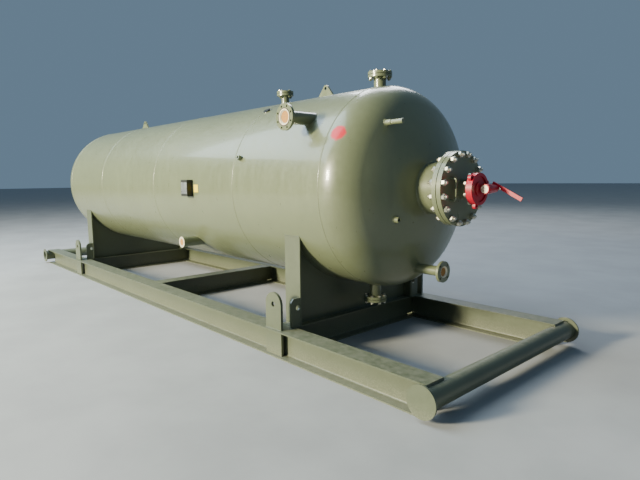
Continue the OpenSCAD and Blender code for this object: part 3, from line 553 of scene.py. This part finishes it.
def straight_bead(bm, start, end, radius):
    """A straight fillet bead with flat ends."""
    run = end - start
    made = bmesh.ops.create_cone(bm, cap_ends=True, segments=8, radius1=radius, radius2=radius,
                                 depth=run.length)
    bmesh.ops.transform(bm, matrix=placed((start + end) / 2, run.normalized()),
                        verts=made["verts"])


def foot_beads(bm, corner, opposite, radius):
    """Beads round the foot of an upright plate, from one corner of the foot to the opposite."""
    z = corner.z
    spots = [corner, Vector((opposite.x, corner.y, z)), opposite,
             Vector((corner.x, opposite.y, z))]
    for start, end in zip(spots, spots[1:] + spots[:1]):
        straight_bead(bm, start, end, radius)


def saddled_ring(bm, origin, axis, radius, leg, height_at, steps=72):
    """A fillet ring round a pipe that follows the surface it stands on. height_at gives the
    surface's place along axis for a point."""
    half = leg * RING_SHARE
    for v in ring_bead(bm, origin, axis, radius, half, half, steps):
        v.co += axis * height_at(v.co)


def head_height(radius):
    """Height of a head's outside over its weld seam, at a distance from the axis."""
    s = sizes()
    inner = s.shell_radius - s.shell_thickness
    centre = inner - s.knuckle_radius
    crown_centre = -math.sqrt((s.crown_radius - s.knuckle_radius) ** 2 - centre ** 2)
    slope = centre / -crown_centre
    crown = s.crown_radius + s.shell_thickness
    height = crown_centre + math.sqrt(max(crown ** 2 - radius ** 2, 0))
    if radius > slope * (height - crown_centre):
        knuckle = s.knuckle_radius + s.shell_thickness
        height = math.sqrt(max(knuckle ** 2 - (radius - centre) ** 2, 0))
    return s.head_flange + height


def coupling_line(coupling):
    """Where a coupling's axis leaves the tank's own, and its direction."""
    ahead, angle, _ = coupling
    origin = Vector((low("shell_course_1").x + ahead, 0, sizes().axis_height))
    return origin, Vector((0, -math.cos(angle), math.sin(angle)))


def hex_nut(across, height):
    """A hex nut or bolt head that stands on z = 0, with chamfered corners."""
    bm = bmesh.new()
    face = across * ROUND_FACE
    chamfer = math.tan(math.radians(30))
    bmesh.ops.create_circle(bm, segments=6, radius=across / math.sqrt(3))
    bmesh.ops.subdivide_edges(bm, edges=bm.edges[:], cuts=3)
    rings = [bm.edges[:]]
    for _ in range(3):
        made = bmesh.ops.extrude_edge_only(bm, edges=rings[-1])
        rings.append([e for e in made["geom"] if isinstance(e, bmesh.types.BMEdge)])
    # The rings are the lower face's rim, both ends of the flats and the upper face's rim
    for ring, z, slope in zip(rings, (0, 0, height, height), (0, chamfer, -chamfer, 0)):
        for v in {v for e in ring for v in e.verts}:
            flat = v.co.xy
            if slope:
                z_here = z + slope * max(flat.length - face, 0)
            else:
                flat, z_here = flat.normalized() * min(flat.length, face), z
            v.co = Vector((flat.x, flat.y, z_here))
    for ring in (rings[0], rings[3]):
        bmesh.ops.holes_fill(bm, edges=ring, sides=0)
    bmesh.ops.recalc_face_normals(bm, faces=bm.faces)
    return kept_mesh(bm, "hex nut")


def threaded_rod(diameter, reach, pitch):
    """A stud along +Z from z = 0, with ridges for its thread and a chamfered end."""
    bm = bmesh.new()
    crest, root = diameter / 2, diameter / 2 - THREAD_DEPTH * pitch
    count = int(reach / pitch)
    step = reach / count
    outline = [Vector((0, 0, 0)), Vector((crest, 0, 0))]
    for i in range(count):
        z = i * reach / count
        outline += [Vector((root, 0, z + step * 0.5)), Vector((crest, 0, z + step))]
    outline[-1] = Vector((root, 0, reach))
    outline.append(Vector((0, 0, reach)))
    turned(bm, outline, 20)
    bmesh.ops.remove_doubles(bm, verts=bm.verts, dist=1e-7)
    bmesh.ops.recalc_face_normals(bm, faces=bm.faces)
    return kept_mesh(bm, "threaded rod")


def bolt_ring(bm, centre, axis, circle, count, stud, nut, faces, proud, seed, front="nut"):
    """Studs on a bolt circle. faces are the places of the two clamped faces along axis, measured
    from centre, and proud is how far a stud stands out of its nut. The back has nuts; the front
    has nuts, low bolt heads or, in a threaded hole, nothing."""
    draw = random.Random(seed)
    height = nut * NUT_HEIGHT
    back, fore = faces
    nut_mesh = hex_nut(nut, height)
    head_mesh = hex_nut(nut, nut * HEAD_HEIGHT)
    side = axis.orthogonal().normalized() if abs(axis.z) > 0.5 else AXIS_Z
    for i in range(count):
        turn = Matrix.Rotation((i + 0.5) * ROUND / count, 3, axis)
        spot = centre + turn @ side * (circle / 2)
        slack = draw.uniform(-0.25, 0.25) * proud
        start = back - height - proud - slack
        # A bolt's shank ends inside its head, and a stud inside its threaded hole
        end = fore + (height + proud - slack if front == "nut" else -2 * MM)
        rod = threaded_rod(stud, end - start, stud * THREAD_PITCH)
        pieces = [(start, axis, rod), (back, -axis, nut_mesh)]
        if front != "nothing":
            pieces.append((fore, axis, nut_mesh if front == "nut" else head_mesh))
        for place, way, mesh in pieces:
            spun = Matrix.Rotation(draw.uniform(0, 6), 4, "Z")
            add_copy(bm, mesh, placed(spot + axis * place, way) @ spun)
        bpy.data.meshes.remove(rod)
    bpy.data.meshes.remove(nut_mesh)
    bpy.data.meshes.remove(head_mesh)


class TANK_OT_manway_studs(bpy.types.Operator):
    """Puts studs and nuts round the manway cover"""
    bl_idname = "tank.manway_studs"
    bl_label = "Manway studs"

    def execute(self, context):
        f = fasteners()
        bm = bmesh.new()
        bolt_ring(bm, Vector((0, 0, sizes().axis_height)), AXIS_X, MANWAY_CIRCLE, count=16,
                  stud=f.manway_stud, nut=f.manway_nut,
                  faces=(low("manway_flange").x, high("manway_cover").x), proud=20 * MM, seed=3)
        as_piece("manway_studs", bm, "zinc plated steel")
        return {"FINISHED"}


class TANK_OT_valve_studs(bpy.types.Operator):
    """Puts studs into the valve's back, with nuts on it"""
    bl_idname = "tank.valve_studs"
    bl_label = "Valve studs"

    def execute(self, context):
        f = fasteners()
        bm = bmesh.new()
        back, hole_depth = low("valve_body").x, 28 * MM
        bolt_ring(bm, Vector((0, 0, sizes().axis_height)), AXIS_X, VALVE_CIRCLE, count=8,
                  stud=f.valve_stud, nut=f.valve_nut, faces=(back, back + hole_depth),
                  proud=7 * MM, seed=5, front="nothing")
        as_piece("valve_studs", bm, "zinc plated steel")
        return {"FINISHED"}


class TANK_OT_nozzle_studs(bpy.types.Operator):
    """Puts bolts and nuts through the blinded nozzles"""
    bl_idname = "tank.nozzle_studs"
    bl_label = "Nozzle studs"

    def execute(self, context):
        f = fasteners()
        gasket_gap, flange = 2.3 * MM, 23.9 * MM
        for blind, circle, count, seed, material, slot in (
                ("near_top_blind", CIRCLE_4_IN, 8, 7, "olive enamel", "enamel"),
                ("far_top_blind", CIRCLE_3_IN, 4, 8, "olive enamel", "enamel"),
                ("bottom_blind", CIRCLE_4_IN, 8, 9, "zinc plated steel", "bare_steel")):
            under, over = low(blind).z, high(blind).z
            if blind == "bottom_blind":
                over += gasket_gap + flange
            else:
                under -= gasket_gap + flange
            bm = bmesh.new()
            bolt_ring(bm, Vector((middle(blind).x, middle(blind).y, 0)), AXIS_Z, circle, count,
                      stud=f.nozzle_stud, nut=f.nozzle_nut, faces=(under, over), proud=5 * MM,
                      seed=seed, front="head")
            as_piece(blind.replace("blind", "bolts"), bm, material)
        return {"FINISHED"}


class TANK_OT_lever_bolt(bpy.types.Operator):
    """Puts the clamp's bolt on the lever"""
    bl_idname = "tank.lever_bolt"
    bl_label = "Lever bolt"

    def execute(self, context):
        stem = Vector(next(j["pos_m"] for j in frame["joints"] if j["name"] == "valve_turn"))
        slope = math.radians(27)
        along = Vector((math.cos(slope), 0, -math.sin(slope)))
        from_stem, above = 58 * MM, 15 * MM
        spot = stem + along * from_stem + along.cross(AXIS_Y) * above
        spot.y = low("valve_lever").y
        bm = bmesh.new()
        head = hex_nut(across=17 * MM, height=6.4 * MM)
        add_copy(bm, head, placed(spot, -AXIS_Y))
        bpy.data.meshes.remove(head)
        as_piece("lever_bolt", bm, "zinc plated steel", body="lever")
        return {"FINISHED"}


class TANK_OT_shell_welds(bpy.types.Operator):
    """Lays the weld caps of the shell's ring and length seams"""
    bl_idname = "tank.shell_welds"
    bl_label = "Shell welds"

    def execute(self, context):
        s = sizes()
        centre = Vector((0, 0, s.axis_height))
        half_width = s.seam_width / 2
        courses = ["shell_course_%d" % i for i in (1, 2, 3, 4)]
        bm = bmesh.new()
        for x in [high(courses[0]).x] + [low(course).x for course in courses]:
            ring_bead(bm, centre + AXIS_X * x, AXIS_X, s.shell_radius, s.seam_height, half_width,
                      180, 8)
        as_piece("ring_seams", bm, "enamelled weld")
        bm = bmesh.new()
        quarter = math.radians(90)
        lie = Matrix.Rotation(quarter, 4, "X") @ Matrix.Rotation(quarter, 4, "Y")
        flat = Matrix.Diagonal((s.seam_height, half_width, 1, 1))
        for i, course in enumerate(courses):
            # Two length seams in line are never laid, so they stand at two angles on the back
            turn = Matrix.Rotation(math.radians(38 if i % 2 else 62), 4, "X")
            out = Vector((middle(course).x, s.shell_radius - s.seam_height * 0.2, 0))
            made = bmesh.ops.create_cone(bm, cap_ends=True, segments=12, radius1=1, radius2=1,
                                         depth=high(course).x - low(course).x)
            bmesh.ops.transform(bm, verts=made["verts"],
                                matrix=Matrix.Translation(centre) @ turn
                                @ Matrix.Translation(out) @ lie @ flat)
        as_piece("length_seams", bm, "enamelled weld")
        return {"FINISHED"}


class TANK_OT_nozzle_welds(bpy.types.Operator):
    """Lays the fillet welds round every nozzle, coupling, lug and flange hub"""
    bl_idname = "tank.nozzle_welds"
    bl_label = "Nozzle welds"

    def execute(self, context):
        s = sizes()
        axis_z, shell = s.axis_height, s.shell_radius
        bm = bmesh.new()

        def on_shell(axis):
            across = AXIS_X.cross(axis)
            return lambda co: math.sqrt(shell ** 2 - (co - AXIS_Z * axis_z).dot(across) ** 2)

        def on_head(co):
            return head_height(math.hypot(co.y, co.z - axis_z))

        for node, axis, pipe in (("near_top_nozzle", AXIS_Z, PIPE_4_IN),
                                 ("far_top_nozzle", AXIS_Z, PIPE_3_IN),
                                 ("bottom_nozzle", -AXIS_Z, PIPE_4_IN),
                                 ("side_nozzle", -AXIS_Y, PIPE_4_IN),
                                 ("side_stub", -AXIS_Y, PIPE_4_IN)):
            spot = middle(node)
            origin = Vector((spot.x, 0, spot.z if axis.y else axis_z))
            saddled_ring(bm, origin, axis, pipe / 2, s.fillet, on_shell(axis))
        for coupling in (SMALL_COUPLING, BIG_COUPLING):
            origin, axis = coupling_line(coupling)
            saddled_ring(bm, origin, axis, coupling[2], s.fillet * 0.7, on_shell(axis), 48)
        seam = high("shell_course_1").x
        drain = 0, middle("drain_nozzle").z - axis_z, PIPE_3_IN / 2
        for y, z, radius in ((0, 0, NECK / 2), drain, NIPPLE, HEAD_COUPLING):
            saddled_ring(bm, Vector((seam, y, axis_z + z)), AXIS_X, radius, s.fillet, on_head)

        # Slip-on flanges are welded to their pipes at the back
        flange, cover = low("manway_flange").x, high("manway_cover").x
        ring_bead(bm, Vector((flange, 0, axis_z)), AXIS_X, NECK / 2, 8 * MM, 8 * MM)
        ring_bead(bm, Vector((cover, 0, axis_z)), AXIS_X, PIPE_6_IN / 2, 6 * MM, 6 * MM)
        handle, rod = middle("manway_handle").y, 8 * MM
        for z in (low("manway_handle").z + rod, high("manway_handle").z - rod):
            ring_bead(bm, Vector((cover, handle, z)), AXIS_X, rod, 4 * MM, 4 * MM, 32)
        foot = Vector((s.lug_length, s.lug_plate, 0)) / 2
        for x in (high("lifting_lugs").x - foot.x, low("lifting_lugs").x + foot.x):
            spot = Vector((x, 0, axis_z + shell))
            foot_beads(bm, spot - foot, spot + foot, 6 * MM)
        as_piece("nozzle_welds", bm, "enamelled weld")
        return {"FINISHED"}


class TANK_OT_saddle_welds(bpy.types.Operator):
    """Lays the fillet welds of the saddles and their tie lugs"""
    bl_idname = "tank.saddle_welds"
    bl_label = "Saddle welds"

    def execute(self, context):
        s = sizes()
        leg, shell = s.skid_fillet * BEAD_SHARE, s.shell_radius
        rail_top = high("front_rail").z
        half = s.saddle_span / 2
        plate_top = s.axis_height - math.sqrt(shell ** 2 - half ** 2)
        # The web stands between the end plates and its upper edge follows the shell
        web_half = half - s.saddle_plate - 2 * MM
        spread = math.asin(web_half / shell)
        start = Vector((0, -math.sin(spread), -math.cos(spread)))
        bm = bmesh.new()
        for node in ("near_saddle", "far_saddle"):
            back, front, x = low(node).x, high(node).x, middle(node).x
            for side in (-1, 1):
                y = side * half
                for bead_y, z in ((y, rail_top), (y - side * s.saddle_plate, rail_top),
                                  (y, plate_top)):
                    straight_bead(bm, Vector((back, bead_y, z)), Vector((front, bead_y, z)), leg)
                foot_beads(bm, Vector((front - s.tie_plate, y, rail_top)),
                           Vector((front, side * high(node).y, rail_top)), leg)
                for tie_x in (front - s.tie_plate, front):
                    foot = Vector((tie_x, y, rail_top))
                    straight_bead(bm, foot, foot + AXIS_Z * s.tie_height, leg)
            for web_x in (x - s.saddle_plate / 2, x + s.saddle_plate / 2):
                straight_bead(bm, Vector((web_x, -web_half, rail_top)),
                              Vector((web_x, web_half, rail_top)), leg)
                ring_bead(bm, Vector((web_x, 0, s.axis_height)), AXIS_X, shell, leg, leg, 64, 8,
                          start, 2 * spread)
        as_piece("saddle_welds", bm, "skid weld")
        return {"FINISHED"}


class TANK_OT_skid_welds(bpy.types.Operator):
    """Lays the fillet welds of the cross-members, pad eyes and end pipes"""
    bl_idname = "tank.skid_welds"
    bl_label = "Skid welds"

    def execute(self, context):
        s = sizes()
        leg = s.skid_fillet * BEAD_SHARE
        half_web = s.web_plate / 2
        rail_top, rail = high("front_rail").z, middle("back_rail").y
        inner, outer = low("back_rail").y, high("back_rail").y
        # The cross-members' webs are cut clear of the rails' flanges
        clear = 26 * MM
        bm = bmesh.new()
        for node in ("near_cross_member", "middle_cross_member", "far_cross_member"):
            back, front, x = low(node).x, high(node).x, middle(node).x
            for side in (-1, 1):
                for z in (rail_top, s.beam_flange):
                    straight_bead(bm, Vector((back, side * inner, z)),
                                  Vector((front, side * inner, z)), leg * 0.8)
                for web_x in (x - half_web, x + half_web):
                    y = side * (rail - half_web)
                    straight_bead(bm, Vector((web_x, y, clear)),
                                  Vector((web_x, y, rail_top - clear)), leg)
        as_piece("cross_member_welds", bm, "skid weld")

        bm = bmesh.new()
        eyes_low, eyes_high = low("pad_eyes"), high("pad_eyes")
        for back in (eyes_low.x, eyes_high.x - s.eye_width):
            for side in (-1, 1):
                foot_beads(bm, Vector((back, side * (eyes_high.y - s.eye_plate), rail_top)),
                           Vector((back + s.eye_width, side * eyes_high.y, rail_top)), leg * 1.2)
        as_piece("pad_eye_welds", bm, "skid weld")

        bm = bmesh.new()
        pipe = PIPE_6_IN / 2
        disc = high("end_discs").y - s.disc_plate
        for node in ("near_end_pipe", "far_end_pipe"):
            spot = middle(node)
            inward = -1 if spot.x > 0 else 1
            for side in (-1, 1):
                # The rail's web ends on the pipe's inner quarter, and its flange just over it
                for face in (rail - half_web, rail + half_web):
                    ring_bead(bm, Vector((spot.x, side * face, spot.z)), AXIS_Y * inward, pipe,
                              leg, leg, 24, 8, AXIS_Z, ROUND / 4)
                for along, over in ((0, 3.5 * MM), (14 * MM, 4 * MM)):
                    x, z = spot.x + inward * along, spot.z + pipe + over
                    straight_bead(bm, Vector((x, side * inner, z)), Vector((x, side * outer, z)),
                                  4.5 * MM)
                ring_bead(bm, Vector((spot.x, side * disc, spot.z)), AXIS_Y, pipe, leg, leg, 64, 8)
        as_piece("end_pipe_welds", bm, "skid weld")
        return {"FINISHED"}


class TANK_OT_thread_cap(bpy.types.Operator):
    """Closes the large coupling on the shoulder with a dark thread cap"""
    bl_idname = "tank.thread_cap"
    bl_label = "Thread cap"

    def execute(self, context):
        origin, axis = coupling_line(BIG_COUPLING)
        stands_out = 13 * MM
        bm = bmesh.new()
        turned_part(bm, origin + axis * (sizes().shell_radius + stands_out), axis,
                    [(0, 3.2), (26, 3.2), (28, 5), (35, 5), (38.6, 3), (38.6, -8), (38.1, -8),
                     (38.1, 0.1), (0, 0.1)], 64)
        as_piece("thread_cap", bm, "moulded cap")
        return {"FINISHED"}


class TANK_OT_open_faces(bpy.types.Operator):
    """Lays the bare turned steel and a dark brown ring on the faces of the open nozzles"""
    bl_idname = "tank.open_faces"
    bl_label = "Open faces"

    def execute(self, context):
        side, stub, drain = middle("side_nozzle"), middle("side_stub"), middle("drain_nozzle")
        side.y, stub.y = low("side_nozzle").y, low("side_stub").y
        drain.x = high("drain_nozzle").x
        # Each outline runs over the face and, at a mouth, down its chamfer and back beneath it
        for name, centre, axis, material, points in (
                ("side_face_dark_ring", side, -AXIS_Y, "rusted seating face",
                 [(78.3, -0.2), (78.3, 0.3), (69.3, 0.3), (69.3, -0.2)]),
                ("side_face_bare", side, -AXIS_Y, "turned side mouth",
                 [(69.2, -0.2), (69.2, 0.4), (62.2, 0.4), (50.9, -10.8), (51.6, -11.2),
                  (62.9, -0.2)]),
                ("stub_face_bare", stub, -AXIS_Y, "turned stub end",
                 [(65, -0.2), (65, 0.4), (41.5, 0.4), (41.5, -0.2)]),
                ("drain_face_bare", drain, AXIS_X, "turned drain mouth",
                 [(51, -0.2), (51, 0.4), (48.7, 0.4), (38.2, -10.8), (38.9, -11.2),
                  (49.4, -0.2)])):
            bm = bmesh.new()
            turned_part(bm, centre, axis, points + points[:1], 96)
            as_piece(name, bm, material)
        return {"FINISHED"}


def thin_plate(centre, width, height, thickness, corner):
    """A bmesh with an upright plate that faces the front and has rounded corners."""
    bm = bmesh.new()
    bmesh.ops.create_cube(bm, size=1)
    bmesh.ops.scale(bm, vec=Vector((width, height, thickness)), verts=bm.verts)
    corners = [e for e in bm.edges if abs(e.verts[0].co.z - e.verts[1].co.z) > thickness / 2]
    bmesh.ops.bevel(bm, geom=corners, offset=corner, segments=5, profile=0.5, affect="EDGES",
                    material=-1)
    upright = Matrix((AXIS_X, AXIS_Z, -AXIS_Y)).transposed().to_4x4()
    bmesh.ops.transform(bm, matrix=Matrix.Translation(centre) @ upright, verts=bm.verts)
    return bm


class TANK_OT_plates(bpy.types.Operator):
    """Fixes the bare nameplate on its bracket and the blank tag beside it"""
    bl_idname = "tank.plates"
    bl_label = "Nameplate and tag"

    def execute(self, context):
        # Both lie with their middle plane this far before the face that carries them
        before = Vector((0, -0.8 * MM, 0))
        centre = middle("nameplate_bracket")
        centre.y = low("nameplate_bracket").y
        centre += before
        bm = thin_plate(centre, width=132 * MM, height=128 * MM, thickness=1.4 * MM,
                        corner=6 * MM)
        for x in (-56 * MM, 56 * MM):
            for z in (-54 * MM, 54 * MM):
                rivet = bmesh.ops.create_uvsphere(bm, u_segments=12, v_segments=6,
                                                  radius=4 * MM)["verts"]
                bmesh.ops.scale(bm, vec=Vector((1, 0.5, 1)), verts=rivet)
                bmesh.ops.translate(bm, verts=rivet, vec=centre + Vector((x, -1 * MM, z)))
        as_piece("nameplate", bm, "stainless plate")
        along, over_ground = 1187 * MM, 1505 * MM
        tag = Vector((along, -sizes().shell_radius, over_ground)) + before
        bm = thin_plate(tag, width=90 * MM, height=85 * MM, thickness=1.2 * MM, corner=5 * MM)
        as_piece("blank_tag", bm, "yellow vinyl")
        return {"FINISHED"}


class TANK_OT_frame_finishes(bpy.types.Operator):
    """Gives every piece of the frame its finish"""
    bl_idname = "tank.frame_finishes"
    bl_label = "Frame finishes"

    def execute(self, context):
        by_slot = {
            "enamel": "olive enamel", "saddle_paint": "saddle enamel", "skid_paint": "skid enamel",
            "gasket": "fibre gasket", "red_paint": "red valve paint", "bare_steel": "turned cap",
            "plywood": "plywood", "bracket_paint": "bracket enamel",
        }
        slots = {entry["node"]: entry["material_slot"] for entry in frame["record"]["subparts"]}
        for name, piece in frame["nodes"].items():
            material = by_slot[slots[name]]
            if name in ("near_head", "shell_course_1"):
                material = "marked enamel"
            for slot in piece.material_slots:
                slot.material = finish(material)
        return {"FINISHED"}


def soft_light(name, place, size, power, colour):
    """A square softbox aimed at the middle of the tank."""
    lamp = bpy.data.lights.new(name, "AREA")
    lamp.shape = "SQUARE"
    lamp.size = size
    lamp.energy = power
    lamp.color = colour
    light = bpy.data.objects.new(name, lamp)
    light.location = place
    light.rotation_euler = (LIGHT_AIM - light.location).to_track_quat("-Z", "Y").to_euler()
    bpy.context.collection.objects.link(light)


class TANK_OT_stage(bpy.types.Operator):
    """Sets the floor, the soft lights and the camera"""
    bl_idname = "tank.stage"
    bl_label = "Stage"

    def execute(self, context):
        bm = bmesh.new()
        bmesh.ops.create_circle(bm, cap_ends=True, segments=96, radius=90)
        mesh = kept_mesh(bm, "floor")
        mesh.materials.append(finish("studio floor"))
        floor = bpy.data.objects.new("floor", mesh)
        context.collection.objects.link(floor)

        world = bpy.data.worlds.new("studio")
        world.use_nodes = True
        background = world.node_tree.nodes["Background"].inputs
        background["Color"].default_value = (0.47, 0.72, 1.0, 1)
        background["Strength"].default_value = 0.28
        context.scene.world = world
        # A warm low key from the front, under a cool sky, and a high fill from behind
        soft_light("key", (-2.0, -16.0, 5.4), 2.4, 8600, (1.0, 0.93, 0.68))
        soft_light("overhead", (-5.0, -5.5, 10.0), 10.0, 2300, (0.68, 0.85, 1.0))
        soft_light("back_fill", (-6.0, 11.0, 13.5), 8.0, 1900, (0.92, 0.96, 1.0))

        camera_data = bpy.data.cameras.new("camera")
        camera_data.sensor_width = 36.0
        camera_data.lens = 28.57
        camera_data.clip_end = 500
        camera = bpy.data.objects.new("camera", camera_data)
        yaw, pitch, roll = math.radians(42.32), math.radians(7.21), math.radians(-0.53)
        view = Vector((-math.cos(yaw) * math.cos(pitch), math.sin(yaw) * math.cos(pitch),
                       -math.sin(pitch)))
        right = view.cross(AXIS_Z).normalized()
        up = right.cross(view)
        right, up = (right * math.cos(roll) + up * math.sin(roll),
                     up * math.cos(roll) - right * math.sin(roll))
        camera.matrix_world = (Matrix.Translation(CAMERA_PLACE)
                               @ Matrix((right, up, -view)).transposed().to_4x4())
        context.collection.objects.link(camera)
        context.scene.camera = camera
        return {"FINISHED"}


OPERATORS = (TANK_OT_frame_finishes, TANK_OT_shell_welds, TANK_OT_nozzle_welds,
             TANK_OT_saddle_welds, TANK_OT_skid_welds, TANK_OT_open_faces,
             TANK_OT_manway_studs, TANK_OT_valve_studs, TANK_OT_nozzle_studs,
             TANK_OT_lever_bolt, TANK_OT_thread_cap, TANK_OT_plates, TANK_OT_stage)
GROUPS = ((TankSizes, "tank_sizes"), (FastenerSizes, "tank_fasteners"),
          (FinishColours, "tank_colours"))


class TANK_PT_panel(bpy.types.Panel):
    """Lists the tank's sizes, colours and pieces"""
    bl_idname = "TANK_PT_panel"
    bl_label = "Pressure tank"
    bl_space_type = "VIEW_3D"
    bl_region_type = "UI"
    bl_category = "Tank"

    def draw(self, context):
        for group, name in GROUPS:
            box = self.layout.box()
            for prop in group.__annotations__:
                box.prop(getattr(context.scene, name), prop)
        for operator in OPERATORS:
            self.layout.operator(operator.bl_idname)


def register():
    for cls in [group for group, _ in GROUPS] + list(OPERATORS) + [TANK_PT_panel]:
        bpy.utils.register_class(cls)
    for group, name in GROUPS:
        setattr(bpy.types.Scene, name, PointerProperty(type=group))


def unregister():
    for _, name in GROUPS:
        delattr(bpy.types.Scene, name)
    for cls in [TANK_PT_panel] + list(reversed(OPERATORS)) + [group for group, _ in GROUPS]:
        bpy.utils.unregister_class(cls)


def main():
    register()
    for operator in OPERATORS:
        group, action = operator.bl_idname.split(".")
        getattr(getattr(bpy.ops, group), action)()


if __name__ == "__main__":
    main()
